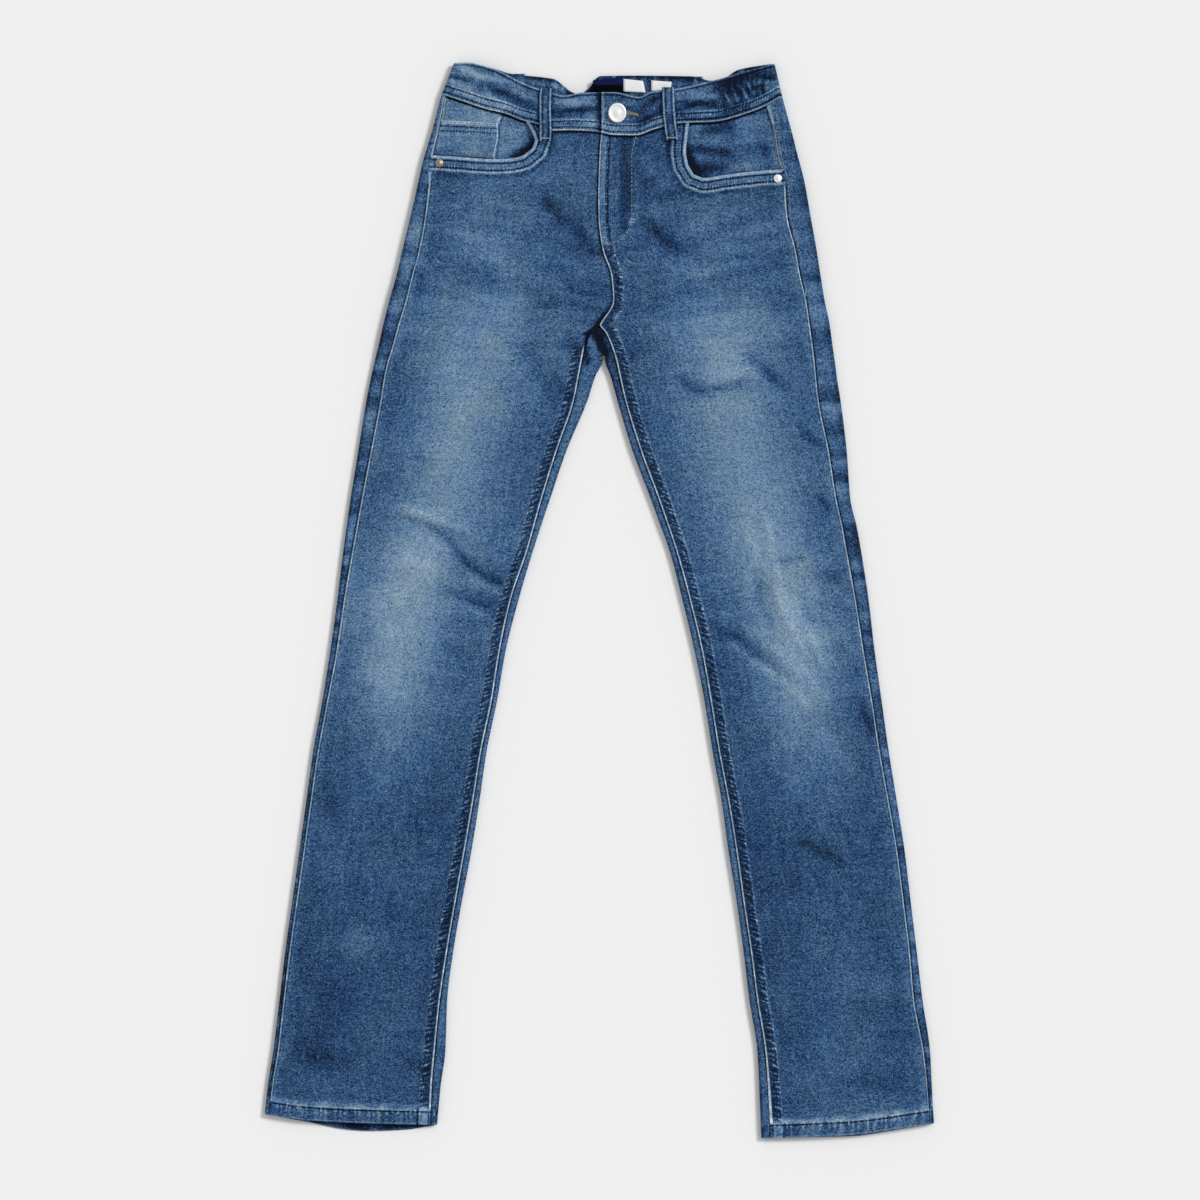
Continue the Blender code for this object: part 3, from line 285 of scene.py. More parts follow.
def from_piece(a, b, x, y):
    """Distance of x, y from a straight piece, and how far along it they are, from 0 to 1."""
    dx, dy = b[0] - a[0], b[1] - a[1]
    t = np.clip(((x - a[0]) * dx + (y - a[1]) * dy) / (dx * dx + dy * dy), 0, 1)
    return np.hypot(x - a[0] - t * dx, y - a[1] - t * dy), t


def line_distance(points, x, y):
    """Shortest distance from x, y to a run of straight pieces."""
    return np.min([from_piece(a, b, x, y)[0] for a, b in zip(points, points[1:])], axis=0)


def ridges(x, y, table, ends):
    """Height added by a table of folds or creases, each lower at its ends."""
    total = 0 * (x + y)
    for ax, ay, bx, by, wide, high in table:
        away, t = from_piece((ax, ay), (bx, by), x, y)
        total = total + high * bell(away, wide) * (ends + (1 - ends) * np.sin(math.pi * t))
    return total


def folds(x, y, table=FOLDS):
    """Height added by a table of folds."""
    return ridges(x, y, table, 0.6)


def creases(x, y, table):
    """Height added by a table of creases."""
    return ridges(x, y, table, 0.55)


fold_out = {side: smooth(rows, 1) for side, (rows, _) in SIDES.items()}
side_seam = {side: smooth(rows, 2) for side, (rows, _) in SIDES.items()}
leg_seam = {side: smooth(rows, 3) for side, (rows, _) in SIDES.items()}
fold_in = {side: smooth(rows, 4) for side, (rows, _) in SIDES.items()}
hem_front = {side: smooth(rows) for side, rows in HEM_FRONT.items()}
hem_back = {side: smooth(rows) for side, rows in HEM_BACK.items()}
centre_front = smooth(CENTRE_FRONT)
waist_seam = smooth(WAIST_SEAM)
band_top_front = smooth(BAND_TOP_FRONT)
band_top_back = smooth(BAND_TOP_BACK)
back_waist = smooth(BACK_WAIST)


def inner_edge(side, y):
    """Inseam below the crotch point, centre front above it."""
    return np.where(y > CENTRE_FRONT[-1][0], centre_front(y), leg_seam[side](y))


def hem_shift(side, x, y_row, edge):
    """How far a row near the hem moves to end on the hem's own curve."""
    return (1 - ease((y_row - HEM_ROW) / 60)) * (edge[side](x) - HEM_ROW)


def seam_line(side, x):
    """Waist seam as the straight pieces between the band's own columns."""
    columns = sorted(BAND_X[side])
    return np.interp(x, columns, waist_seam(np.array(columns)))


def back_line(x):
    """Back waist seam as the straight pieces between the yokes' own columns."""
    columns = sorted(BACK_X)
    return np.interp(x, columns, back_waist(np.array(columns)))


def rest_level(y):
    """Underside of the back: on the floor at the legs, on its pockets and loops at the seat."""
    return SEAT_LIFT * ease((y - 200) / 32)


def dome(x, a, b):
    """Fullness between two folds, zero one fold radius inside each."""
    u = (x - a) / (b - a)
    return np.clip(1 - (2 * u - 1) ** 4, 0, 1)


def top(side, x, y):
    """Upper surface of the cloth that faces up."""
    sign = SIDES[side][1]
    outer = fold_out[side](y) - sign * FOLD_RADIUS
    inner = fold_in[side](y) + sign * FOLD_RADIUS
    leg = dome(x, outer, inner)
    hip = dome(x, fold_out["left"](y) + FOLD_RADIUS, fold_out["right"](y) - FOLD_RADIUS)
    mix = ease((y - 205) / 45)
    edge = ease(np.abs(x - outer) / 12) * (mix + (1 - mix) * ease(np.abs(x - inner) / 12))
    return (rest_level(y) + 2 * FOLD_RADIUS + FILL * ((1 - mix) * leg + mix * hip)
            + edge * folds(x, y))


def hem_zone(side, x, y):
    """One inside the turned hem, zero above it."""
    return 1 - ease((y - hem_front[side](x) - HEM_DEPTH) / RAMP)


def front_relief(side, x, y):
    """Extra thickness of the turned hem, felled inseam, pocket hem and fly."""
    sign = SIDES[side][1]
    from_inseam = np.abs(x - inner_edge(side, y))
    inseam = SEAM_RELIEF * (1 - ease((from_inseam - SEAM_BAND) / RAMP)) * ease((240 - y) / 6)
    pocket = POCKET_RELIEF * (1 - ease((line_distance(SCOOP_LINE[side], x, y) - POCKET_HEM) / RAMP))
    fly = 0
    if sign > 0:
        reach = FLY_LINE_X(y)
        fly = FLY_RELIEF * (1 - ease((x - reach) / RAMP)) * ease((y - 308) / RAMP)
    hem = HEM_RELIEF * hem_zone(side, x, y)
    return np.maximum(np.maximum(hem, inseam), np.maximum(pocket, fly))


SCOOP_LINE = {side: spline(points, 7) for side, points in SCOOP.items()}
FLY_LINE_X = smooth([(y, x) for x, y in FLY_CURVE])

# Scene-only sizes
SHELL = 1
ROW_STEP = 2.4
SEAM_REACH = 30
LABEL_WALL = 0.6
FACING_DROP = 0.4
COIN_WALL = 0.8
FRAME_WIDTH = 1044
LENS_MM = 200
SENSOR_MM = 36
WORLD_STRENGTH = 0.56
SUN_STRENGTH = 2.1
SUN_WIDTH_DEGREES = 16
SUN_FROM = (0.72, 0.42, 0.74)

# Finer creases: x and y at both ends, half width, height
CREASES = (
    (-52, 352, -34, 330, 5, -0.9), (-24, 326, -8, 305, 5, -0.8), (-30, 275.5, -18, 266, 3, -1.1),
    (-13.5, 267.5, 4, 264.5, 2.8, -0.8), (-56, 256, -38, 259, 4, -0.8),
    (-110, 300, -60, 286, 9, 0.7), (-128, 318, -84, 311, 9, 0.6),
    (-157, 282, -159.5, 262, 2.2, -1.1), (-152, 345, -142, 343, 4, -0.9),
    (-40, 196, -28, 176, 3.5, -0.8), (-34, 226, -20, 214, 4, -0.7),
    (-166, 124.5, -144.6, 119, 3.2, -0.6), (-101.4, 99, -91, 91, 3, -0.7),
    (-176, 79.5, -146, 71.5, 3.2, 0.8), (-146, 71.5, -118, 60, 3.6, 0.7),
    (-176, 74.5, -150, 64.5, 3, -0.9), (-150, 64.5, -136.5, 57, 3, -1.1),
    (-136.5, 57, -123, 39.5, 3.2, -1.3), (-123, 39.5, -109.5, 26, 3.2, -1.3),
    (-109.5, 26, -86, 15, 3, -1.1), (-122, 50, -98, 28, 3.6, 0.6), (-114, 20, -92, 7, 4, 0.6),
    (-139, 9, -114, 1, 5, -0.7), (-114, 1, -88, -16, 3.2, -1), (-112, -5, -92, -17, 3, 0.8),
    (-142, 34, -136.5, -3, 2.8, -0.6), (-189, 10, -172, -3, 3, 0.6),
    (-203, -14, -200, -41, 5, -0.6), (-176, 40, -146, 26, 8, 0.5), (-134, -40, -112, -60, 6, -0.6),
    (-205, -60, -180, -82, 8, 0.5), (-240, -300, -190, -292, 12, 0.5),
    (-262, -392, -222, -402, 10, -0.6), (-170, -398, -150, -410, 6, -0.7),
    (36, 349, 75, 354, 5, -1), (46, 321, 66, 306, 4, -1), (40, 296, 90, 282, 9, 0.7),
    (70, 193.5, 77, 184, 3.2, -1), (77, 184, 88, 181, 3.2, -1.2), (88, 181, 126, 188.5, 3.4, -1.1),
    (96, 192, 128, 198, 6, 0.6), (128, 212, 142, 202, 3.6, -1), (142, 202, 157, 184, 3.6, -1.3),
    (174, 149, 183, 140, 3, -1.2), (183, 140, 194, 135, 3, -1.1), (196, 153, 206, 138, 3, -1.1),
    (190, 90, 200, 77, 3.4, -1.2), (207, 79, 220, 56, 3.4, -1.3), (152, 33, 176, 36, 2.6, -1.1),
    (126, 66, 141, 31, 4, 0.6), (134.5, 24, 140, 0, 4, -1), (140, 0, 153, -40, 3, -0.7),
    (144, 73, 157, 19, 3.4, 0.8), (153, 12, 160, -10, 2.6, 0.8), (160, -10, 180, -49, 2, 0.9),
    (180, -22, 194, -58, 3.2, 0.7), (152, 46, 160, 26, 3.4, -0.8), (172, 10, 184, -20, 4, -0.5),
    (92, -18, 120, -40, 6, -0.7), (116, -29, 138, -46, 4.2, -0.7), (138, -46, 164, -64, 4.2, -0.5),
    (110, -34, 133, -54, 2.8, 1.1), (133, -54, 158, -70, 3, 1.3), (158, -70, 182, -94, 3.4, 1.2),
    (191, 23, 216, 16, 3.6, -0.7), (194, -6, 220, -9, 3.4, -0.6),
    (202, -87.5, 234, -85.5, 1.8, -0.7), (229, -94, 237, -117, 3.4, -1),
    (196, -120, 216, -150, 8, 0.6), (174, -210, 208, -227, 4.5, -0.6),
    (210, -330, 262, -338, 12, 0.5), (200, -418, 262, -424, 9, -0.6),
)
# Creases of the waistband, in the same columns
BAND_CREASES = (
    (-131, 455, -112, 452, 1.8, -1.3), (-104, 450, -62, 432, 3, -0.5),
    (-92, 441, -50, 424, 2.4, -0.8), (-42, 424, -6, 426, 2.6, -1), (-40, 434, -10, 430, 3, 0.6),
    (66, 426, 92, 432, 1.8, -1.2), (76, 424, 100, 438, 2, 0.7), (34, 414, 58, 428, 3, -0.8),
    (44, 430, 52, 441, 2.4, -0.8), (136, 455.5, 152, 453, 1.6, -1.3),
    (132, 448, 151, 450, 1.3, 0.7), (108, 441, 114, 430, 1, 1.1), (115, 446, 119, 433, 1, 1.2),
    (122, 446, 130, 433, 1.1, 1.3), (127, 451, 133, 440, 1.3, 1.1), (140, 447, 144, 437, 1.3, -0.8),
    (-120, 460, -84, 449, 2, 0.7), (-98, 438, -66, 426, 1.5, 0.9), (-88, 436, -60, 424, 1.3, -0.9),
)
# Darkest place of the painted shade under each pocket mouth
MOUTH_SHADE = {"left": (-67, 389), "right": (80, 377)}
# Dips in the facings, in the creases' columns
FACING_DIPS = {
    "left": ((-70, 412, -60, 398, 6, -0.8), (-120, 401, -100, 403, 4, -0.6)),
    "right": (
        (80, 392, 112, 389, 4, -1.6), (86, 406, 112, 412, 4, -0.8), (84, 374, 110, 376, 5, -1.6),
        (140, 400, 146, 378, 4, -0.8),
    ),
}
# Hollow and fold at the crotch, painted dark as shade, as x, y runs
HOLLOW = ((4, 243), (-5.5, 239), (-3.5, 231), (-0.5, 223), (5, 213.5))
HOLLOW_FOLD = ((-9.5, 233), (-13, 225), (-12.5, 214), (-11, 206))
# Wash: y, middle x, half width, amount
FADE = {
    "left": (
        (420, -90, 60, 0.05), (345, -84, 60, 0.19), (290, -104, 56, 0.12), (250, -106, 50, 0.46),
        (215, -112, 45, 0.5), (170, -119, 43, 0.54), (120, -128, 42, 0.53), (80, -138, 42, 0.52),
        (40, -152, 40, 0.6), (0, -167, 38, 0.7), (-30, -176, 36, 0.71), (-60, -179, 34, 0.6),
        (-90, -180, 36, 0.44), (-130, -182, 38, 0.22), (-190, -196, 40, 0.05), (-447, -218, 36, 0),
    ),
    "right": (
        (420, 100, 60, 0.02), (340, 88, 60, 0.12), (280, 104, 52, 0.14), (235, 105, 48, 0.48),
        (185, 112, 45, 0.57), (140, 119, 43, 0.54), (100, 127, 42, 0.53), (60, 142, 42, 0.6),
        (20, 153, 39, 0.7), (-20, 165, 35, 0.68), (-55, 170, 32, 0.62), (-90, 175, 31, 0.52),
        (-130, 182, 31, 0.3), (-190, 192, 32, 0.09), (-320, 210, 38, 0.04), (-395, 214, 50, 0.14),
        (-455, 218, 50, 0.1),
    ),
}
# Tone of the whole leg: y, tone
TONE_ALONG = (
    (-470, 0.21), (-300, 0.15), (-180, 0.205), (-90, 0.27), (0, 0.3), (120, 0.27), (220, 0.25),
    (300, 0.245), (400, 0.235),
)
# Denim colours: tone and linear red, green, blue
DENIM_RAMP = (
    (-0.2, (0.002, 0.005, 0.016)), (0, (0.007, 0.024, 0.068)), (0.25, (0.0195, 0.07, 0.181)),
    (0.5, (0.066, 0.149, 0.288)), (0.75, (0.133, 0.224, 0.34)), (1, (0.198, 0.302, 0.412)),
    (1.3, (0.27, 0.37, 0.475)), (1.6, (0.42, 0.51, 0.59)), (1.9, (0.7, 0.74, 0.78)),
)
# Uneven yarns of the weave: width, height, detail, amount of tone
WEAVE = (
    (0.58, 2.2, 0, 0.9), (1.9, 0.58, 0, 0.85), (0.55, 0.55, 0, 1.15), (2.6, 16, 0, 0.21),
    (14, 2.6, 0, 0.15), (24, 24, 1, 0.12),
)
# Seams: width, edge tone, edge width, band tone, slashes, pitch, slant, outer line, rows, row tone.
# A pale edge tone is a worn edge; the dark edge tones of pull, under and waist are painted shadow
# cast by the next piece's edge
SEAMS = {
    "inseam": (9.4, 1.3, 1.2, -0.36, 1.35, 4.6, 0.45, 0.3, (), 0),
    "side": (3.2, 1.02, 1.2, -0.06, 0.1, 7, 0, 0.14, (), 0),
    "pull": (6, -0.4, 1.4, -0.05, 0.3, 6.3, 0.1, 0, (), 0),
    "under": (3, -0.45, 1.4, -0.05, 0.1, 6, 0, 0, (), 0),
    "hem": (12.6, 0.45, 1.5, -0.04, 1.1, 5.8, 0, 0.2, (11,), -1.35),
    "inside": (12, 0.3, 1.2, -0.22, 0.8, 5, 0, 0, (), 0),
    "mouth": (12.2, 0.9, 2.4, 0.05, 0.9, 2.5, 0.05, 0.8, (3.8, 9.8), -1.25),
    "coin": (12.2, 0.8, 2.8, -0.02, 0.55, 2.5, 0, 0.22, (5, 9), -0.85),
    "waist": (2.8, -1, 1.9, -0.1, 0, 5, 0, 0, (), 0),
    "band": (9.4, 0.9, 1.2, -0.02, 0.9, 2.5, 0.3, 0.36, (2.8, 8.2), -1.3),
    "rim": (3.2, 0.6, 1, -0.1, 0.1, 5, 0, 0, (2.4,), -0.7),
    "fly": (8.2, 1.05, 1.2, 0.18, 0.7, 5, 0.1, -0.85, (6.6,), -0.6),
}

fades = {side: [smooth(rows, i) for i in (1, 2, 3)] for side, rows in FADE.items()}
tone_along = smooth(TONE_ALONG)


def noise(x, y, wide, high, seed):
    """Smooth uneven values from 0 to 1, about wide by high from one to the next."""
    lattice = np.random.RandomState(seed).rand(64, 64)
    u, v = np.asarray(x) / wide, np.asarray(y) / high
    i, j = np.floor(u).astype(int), np.floor(v).astype(int)
    s, t = ease(u - i), ease(v - j)
    low = lattice[i % 64, j % 64] * (1 - s) + lattice[(i + 1) % 64, j % 64] * s
    top_row = lattice[i % 64, (j + 1) % 64] * (1 - s) + lattice[(i + 1) % 64, (j + 1) % 64] * s
    return low * (1 - t) + top_row * t


def wash(side, x, y):
    """Tone of the denim before seams: faded down the middle of the leg, palest at the knee."""
    middle, wide, amount = fades[side]
    fade = amount(y) * bell(x - middle(y), wide(y))
    large, fine = folds(x, y), creases(x, y, CREASES)
    # Creases: worn pale on their ridges, with painted shade in their troughs
    crease_wear_and_shade = 0.05 * np.maximum(large, 0) + 0.10 * np.minimum(large, 0)
    crease_wear_and_shade = crease_wear_and_shade + 0.31 * np.maximum(fine, 0) + 0.27 * np.minimum(fine, 0)
    cloud = 0.09 * (noise(x, y, 26, 60, 5) - 0.5) + 0.11 * (noise(x, y, 60, 34, 6) - 0.5)
    cloud = cloud + 0.05 * (noise(x, y, 12, 18, 7) - 0.5)
    lean = 0.25 if side == "left" else -0.15
    whisker = noise(x - y, y + lean * x, 30, 7, 8) - 0.5
    worn = ease((y - 185) / 40) * (1 - ease((y - 345) / 30)) + 0.8 * bell(y + 5, 90)
    total = tone_along(y) + fade + cloud + 0.20 * whisker * worn
    return np.where(total > 0.8, 0.8 + 0.14 * np.tanh((total - 0.8) / 0.14), total) + crease_wear_and_shade


def seam_slope(edge, y):
    """How much a seam leans, to turn a level distance into a square one."""
    return np.sqrt(1 + ((edge(y + 2) - edge(y - 2)) / 4) ** 2)


# Materials
class Nodes:
    """Short names for shader maths in one node tree."""

    def __init__(self, tree):
        self.tree = tree

    def new(self, kind):
        """A new shader node."""
        return self.tree.nodes.new("ShaderNode" + kind)

    def put(self, socket, value):
        """Set a socket to a number, or link another node's output to it."""
        if isinstance(value, (int, float)):
            socket.default_value = value
        else:
            self.tree.links.new(value, socket)

    def math(self, kind, a, b=0.0, clamp=False):
        """One step of arithmetic."""
        node = self.new("Math")
        node.operation, node.use_clamp = kind, clamp
        self.put(node.inputs[0], a)
        self.put(node.inputs[1], b)
        return node.outputs[0]

    def add(self, *values):
        """Sum of any number of values."""
        return reduce(lambda a, b: self.math("ADD", a, b), values)

    def mul(self, *values):
        """Product of any number of values."""
        return reduce(lambda a, b: self.math("MULTIPLY", a, b), values)

    def step(self, value, low, high):
        """A soft step from 0 at low to 1 at high."""
        node = self.new("MapRange")
        node.interpolation_type = "SMOOTHSTEP"
        for name, given in (("Value", value), ("From Min", low), ("From Max", high)):
            self.put(node.inputs[name], given)
        return node.outputs["Result"]

    def fall(self, value, low, high):
        """A soft step from 1 at low to 0 at high."""
        return self.math("SUBTRACT", 1, self.step(value, low, high))

    def line(self, value, at, wide):
        """One on a line at a distance, falling to zero on both sides."""
        away = self.math("ABSOLUTE", self.math("SUBTRACT", value, at))
        return self.math("SUBTRACT", 1, self.math("DIVIDE", away, wide), clamp=True)

    def vector(self, x, y, z=0.0):
        """Three values as one vector or colour."""
        node = self.new("CombineXYZ")
        for socket, value in zip(node.inputs, (x, y, z)):
            self.put(socket, value)
        return node.outputs[0]

    def split(self, vector):
        """The three values of a vector."""
        node = self.new("SeparateXYZ")
        self.put(node.inputs[0], vector)
        return node.outputs

    def attribute(self, name):
        """A mesh attribute."""
        node = self.new("Attribute")
        node.attribute_name = name
        return node

    def noise(self, x, y, wide, high, detail=1.0, seed=0.0):
        """Uneven values round zero, about wide by high from one to the next."""
        node = self.new("TexNoise")
        node.inputs["Scale"].default_value = 1
        node.inputs["Detail"].default_value = detail
        place = self.vector(self.math("DIVIDE", x, wide), self.math("DIVIDE", y, high), seed)
        self.put(node.inputs["Vector"], place)
        return self.math("SUBTRACT", node.outputs["Fac"], 0.5)

    def finish(self, tint, height, strength, distance, roughness, specular, metallic=0.0):
        """Join the shader to a multiplied colour and a bump, and set its finish."""
        shader = self.tree.nodes["Principled BSDF"]
        mix, bump = self.new("MixRGB"), self.new("Bump")
        mix.blend_type = "MULTIPLY"
        mix.inputs[0].default_value = 1
        colour, shade = tint
        if isinstance(colour, tuple):
            mix.inputs[1].default_value = (*colour, 1)
        else:
            self.put(mix.inputs[1], colour)
        self.put(mix.inputs[2], shade)
        self.put(shader.inputs["Base Color"], mix.outputs[0])
        bump.inputs["Strength"].default_value = strength
        bump.inputs["Distance"].default_value = distance
        self.put(bump.inputs["Height"], height)
        self.put(shader.inputs["Normal"], bump.outputs[0])
        shader.inputs["Roughness"].default_value = roughness
        shader.inputs["Metallic"].default_value = metallic
        shader.inputs["Specular IOR Level"].default_value = specular


def new_material(name):
    """A material, and its nodes."""
    material = bpy.data.materials.new(name)
    material.use_nodes = True
    return material, Nodes(material.node_tree)


def seam_tone(n, name):
    """Tone and height that one kind of seam adds, from its distance, length and weight."""
    width, edge, edge_wide, band, slash, pitch, slant, outer, rows, row_tone = SEAMS[name]
    away, along, weight = n.split(n.attribute(name).outputs["Vector"])
    uneven = n.noise(along, away, 11, 30, 1, 3)
    wavy = n.add(away, n.mul(uneven, 1.8))
    phase = n.add(n.math("DIVIDE", n.add(along, n.mul(away, slant)), pitch), n.mul(uneven, 3))
    wave = n.math("COSINE", n.mul(phase, 2 * math.pi))
    pulse = n.math("POWER", n.add(0.5, n.mul(wave, 0.5)), 2.2)
    patchy = n.add(0.55, n.mul(n.noise(along, away, 5, 2.4, 1, 9), 3.2))
    patchy = n.math("MAXIMUM", patchy, 0)
    at_edge = n.fall(away, edge_wide * 0.7, edge_wide * 1.3)
    fray = n.math("MAXIMUM", n.add(0.95, n.mul(n.noise(along, away, 6, 3, 2, 5), 1.5)), 0)
    in_band = n.mul(n.step(away, edge_wide, edge_wide + 0.8),
                    n.fall(wavy, width - 0.5, width + 0.7))
    outward = n.add(0.35, n.mul(n.step(away, width * 0.35, width * 0.9), 0.65))
    cut = n.mul(pulse, patchy, outward, in_band)
    rim = n.mul(n.line(wavy, width, 0.6 + 0.08 * width), fray)
    tone = n.add(n.mul(at_edge, fray, edge), n.mul(in_band, band), n.mul(cut, slash),
                 n.mul(rim, outer))
    height = n.add(n.mul(at_edge, 0.15), n.mul(cut, 0.35), n.mul(rim, 0.12))
    for row in rows:
        dots = n.add(0.75, n.mul(n.math("COSINE", n.mul(along, 2 * math.pi / 2.9)), 0.25))
        mark = n.mul(n.line(away, row, 1), dots)
        tone = n.add(tone, n.mul(mark, row_tone))
        height = n.add(height, n.mul(mark, -0.3))
    return n.mul(tone, weight), n.mul(height, weight)


def denim_material(name, seams):
    """Faded blue twill with the worn, puckered seams that one kind of piece has, and the painted
    shadow beside some seams' edges.
    """
    material, n = new_material(name)
    grain = n.attribute("grain").outputs["Vector"]
    u, v, _ = n.split(grain)
    wash_tone = n.attribute("wash").outputs["Fac"]
    if "rim" in seams:
        # The band's shaded inside doesn't show on the side that it rests on
        facing = n.split(n.new("NewGeometry").outputs["True Normal"])[2]
        under = n.fall(facing, -0.6, -0.3)
        wash_tone = n.math("MAXIMUM", wash_tone, n.add(-2, n.mul(under, 2.12)))
    yarns = [n.mul(n.noise(u, v, wide, high, detail, wide + high), amount)
             for wide, high, detail, amount in WEAVE]
    tone = n.add(wash_tone, n.mul(n.add(*yarns), n.add(0.9, n.mul(wash_tone, 0.35))))
    twill = n.math("SINE", n.mul(n.add(u, n.mul(v, 0.6)), 2 * math.pi / 0.9))
    height = n.add(n.mul(twill, 0.02), n.mul(yarns[0], 0.15), n.mul(yarns[1], 0.15),
                   n.mul(n.noise(u, v, 9, 9, 1, 8), 0.22))
    for seam in seams:
        more, high = seam_tone(n, seam)
        tone, height = n.add(tone, more), n.add(height, high)
    ramp = n.new("ValToRGB")
    low, high = DENIM_RAMP[0][0], DENIM_RAMP[-1][0]
    stops = ramp.color_ramp.elements
    while len(stops) < len(DENIM_RAMP):
        stops.new(0.5)
    for stop, (at, colour) in zip(stops, DENIM_RAMP):
        stop.position = (at - low) / (high - low)
        stop.color = (*colour, 1)
    n.put(ramp.inputs[0], n.math("DIVIDE", n.add(tone, -low), high - low, clamp=True))
    drift = n.noise(u, v, 34, 46, 1, 11)
    shade = n.vector(n.add(1, n.mul(drift, 0.30)), n.add(1, n.mul(drift, 0.12)),
                     n.add(1, n.mul(drift, -0.18)))
    n.finish((ramp.outputs[0], shade), height, 0.9, MM, 0.92, 0.15)
    return material


def plain_material(name, colour, roughness, metallic=0.0, grain=0.0, size=2.0, bump_by=0.1,
                   shade_below=0):
    """A colour with a fine uneven grain, for metal, thread and labels."""
    material, n = new_material(name)
    x, y, _ = n.split(n.new("TexCoord").outputs["Object"])
    # Painted shadow over the part below shade_below, when one is given
    shaded = n.step(y, shade_below * MM, (shade_below + 1.6) * MM) if shade_below else 1
    speck = n.noise(x, y, size * MM, size * MM, 3, 1)
    shade = n.mul(n.add(1, n.mul(speck, grain)), shaded)
    n.finish((colour, n.vector(shade, shade, shade)), speck, 1, bump_by * MM, roughness,
             0.5 if metallic else 0.1, metallic)
    return material


PAINT = {
    "denim": denim_material("denim", ()),
    "denim_front": denim_material("denim_front",
                                  ("inseam", "side", "hem", "mouth", "waist", "fly")),
    "denim_back": denim_material("denim_back", ("pull", "under", "inside")),
    "denim_band": denim_material("denim_band", ("band", "rim")),
    "denim_pocket": denim_material("denim_pocket", ("side", "coin", "waist", "fly")),
    "button": plain_material("button_silver", (0.93, 0.94, 0.93), 0.42, 0.6, 0.2, 3),
    "rivet": plain_material("rivet_copper", (0.37, 0.31, 0.27), 0.45, 1, 0.8, 1),
    "thread": plain_material("thread_blue", (0.020, 0.040, 0.085), 0.8, 0, 0.8, 1.5),
    "thread_pale": plain_material("thread_pale", (0.42, 0.44, 0.46), 0.8, 0, 0.8, 1.5),
    "thread_tan": plain_material("thread_tan", (0.50, 0.38, 0.22), 0.8, 0, 0.8, 1.5),
    # The dark label's lower part is painted black as shadow
    "label_dark": plain_material("label_dark", (0.004, 0.009, 0.060), 0.9, 0, 0.6, 0.8,
                                 shade_below=447),
    "label_light": plain_material("label_light", (0.80, 0.81, 0.82), 0.8, 0, 0.15, 0.8),
}


# Meshes
cuts = {}


def add_object(name, data):
    """A new object in the scene."""
    obj = bpy.data.objects.new(name, data)
    scene.collection.objects.link(obj)
    return obj


def add_mesh(name, points, faces, paint, attributes=None):
    """A mesh object in metres with its denim attributes."""
    mesh = bpy.data.meshes.new(name)
    points = np.asarray(points, dtype=np.float64)
    mesh.from_pydata((points * MM).tolist(), [], faces)
    mesh.materials.append(PAINT[paint])
    for key, values in (attributes or {}).items():
        kind, slot = ("FLOAT", "value") if key == "wash" else ("FLOAT_VECTOR", "vector")
        layer = mesh.attributes.new(key, kind, "POINT")
        layer.data.foreach_set(slot, np.asarray(values, dtype=np.float32).ravel())
    mesh.polygons.foreach_set("use_smooth", [True] * len(mesh.polygons))
    obj = add_object(name, mesh)
    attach(obj, "root")
    return obj


def thicken(obj, wall=SHELL):
    """Cloth thickness on the inner side of a one-layer shell."""
    solid = obj.modifiers.new("cloth", "SOLIDIFY")
    solid.thickness = wall * MM
    solid.offset = -1
    solid.use_even_offset = False
    return obj


def vectors(away, along, weight):
    """One seam attribute from its three parts."""
    shape = np.broadcast(away, along, weight).shape
    parts = [np.broadcast_to(part, shape).ravel() for part in (away, along, weight)]
    return np.stack(parts, axis=1)


def flat_cut(points, keep):
    """Width, length and area of a one-layer grid of points laid out flat, in metres."""
    keep = np.ones((points.shape[0] - 1, points.shape[1] - 1), bool) if keep is None else keep
    across = np.linalg.norm(np.diff(points, axis=1), axis=2)[:-1] * keep
    along = np.linalg.norm(np.diff(points, axis=0), axis=2)[:, :-1] * keep
    corners = np.cross(points[1:, 1:] - points[:-1, :-1], points[1:, :-1] - points[:-1, 1:])
    area = 0.5 * (np.linalg.norm(corners, axis=2) * keep).sum()
    return across.sum(axis=1).max() * MM, along.sum(axis=0).max() * MM, area * MM * MM


def grid_shell(name, x, y, z, attributes, keep=None, flip=False, wall=SHELL, paint="denim"):
    """A shell from rows and columns of points, leaving out cells where keep is false."""
    rows, columns = x.shape
    cuts[name] = flat_cut(np.stack([x, y, z], axis=-1), keep)
    number = np.arange(rows * columns).reshape(rows, columns)
    a, b = number[:-1, :-1], number[:-1, 1:]
    c, d = number[1:, 1:], number[1:, :-1]
    cells = np.stack([a, b, c, d], axis=-1)
    cells = cells[keep] if keep is not None else cells.reshape(-1, 4)
    if flip:
        cells = cells[:, ::-1]
    used = np.unique(cells)
    place = np.full(rows * columns, -1)
    place[used] = np.arange(len(used))
    points = np.stack([x.ravel(), y.ravel(), z.ravel()], axis=1)[used]
    kept = {}
    for key, values in attributes.items():
        values = np.asarray(values)
        values = values.reshape(rows * columns, -1) if key != "wash" else values.ravel()
        kept[key] = values[used]
    obj = add_mesh(name, points, place[cells].tolist(), paint, kept)
    return thicken(obj, wall)


def nearest_on(points, x, y):
    """Nearest place on a run of straight pieces: distance, length along it, x and y."""
    best = np.full(np.shape(x), 1e9)
    along, px, py = np.zeros_like(best), np.zeros_like(best), np.zeros_like(best)
    length = 0
    for (ax, ay), (bx, by) in zip(points, points[1:]):
        dx, dy = bx - ax, by - ay
        piece = math.hypot(dx, dy)
        t = np.clip(((x - ax) * dx + (y - ay) * dy) / (piece * piece), 0, 1)
        qx, qy = ax + t * dx, ay + t * dy
        away = np.hypot(x - qx, y - qy)
        closer = away < best
        best = np.where(closer, away, best)
        along = np.where(closer, length + t * piece, along)
        px, py = np.where(closer, qx, px), np.where(closer, qy, py)
        length += piece
    return best, along, px, py


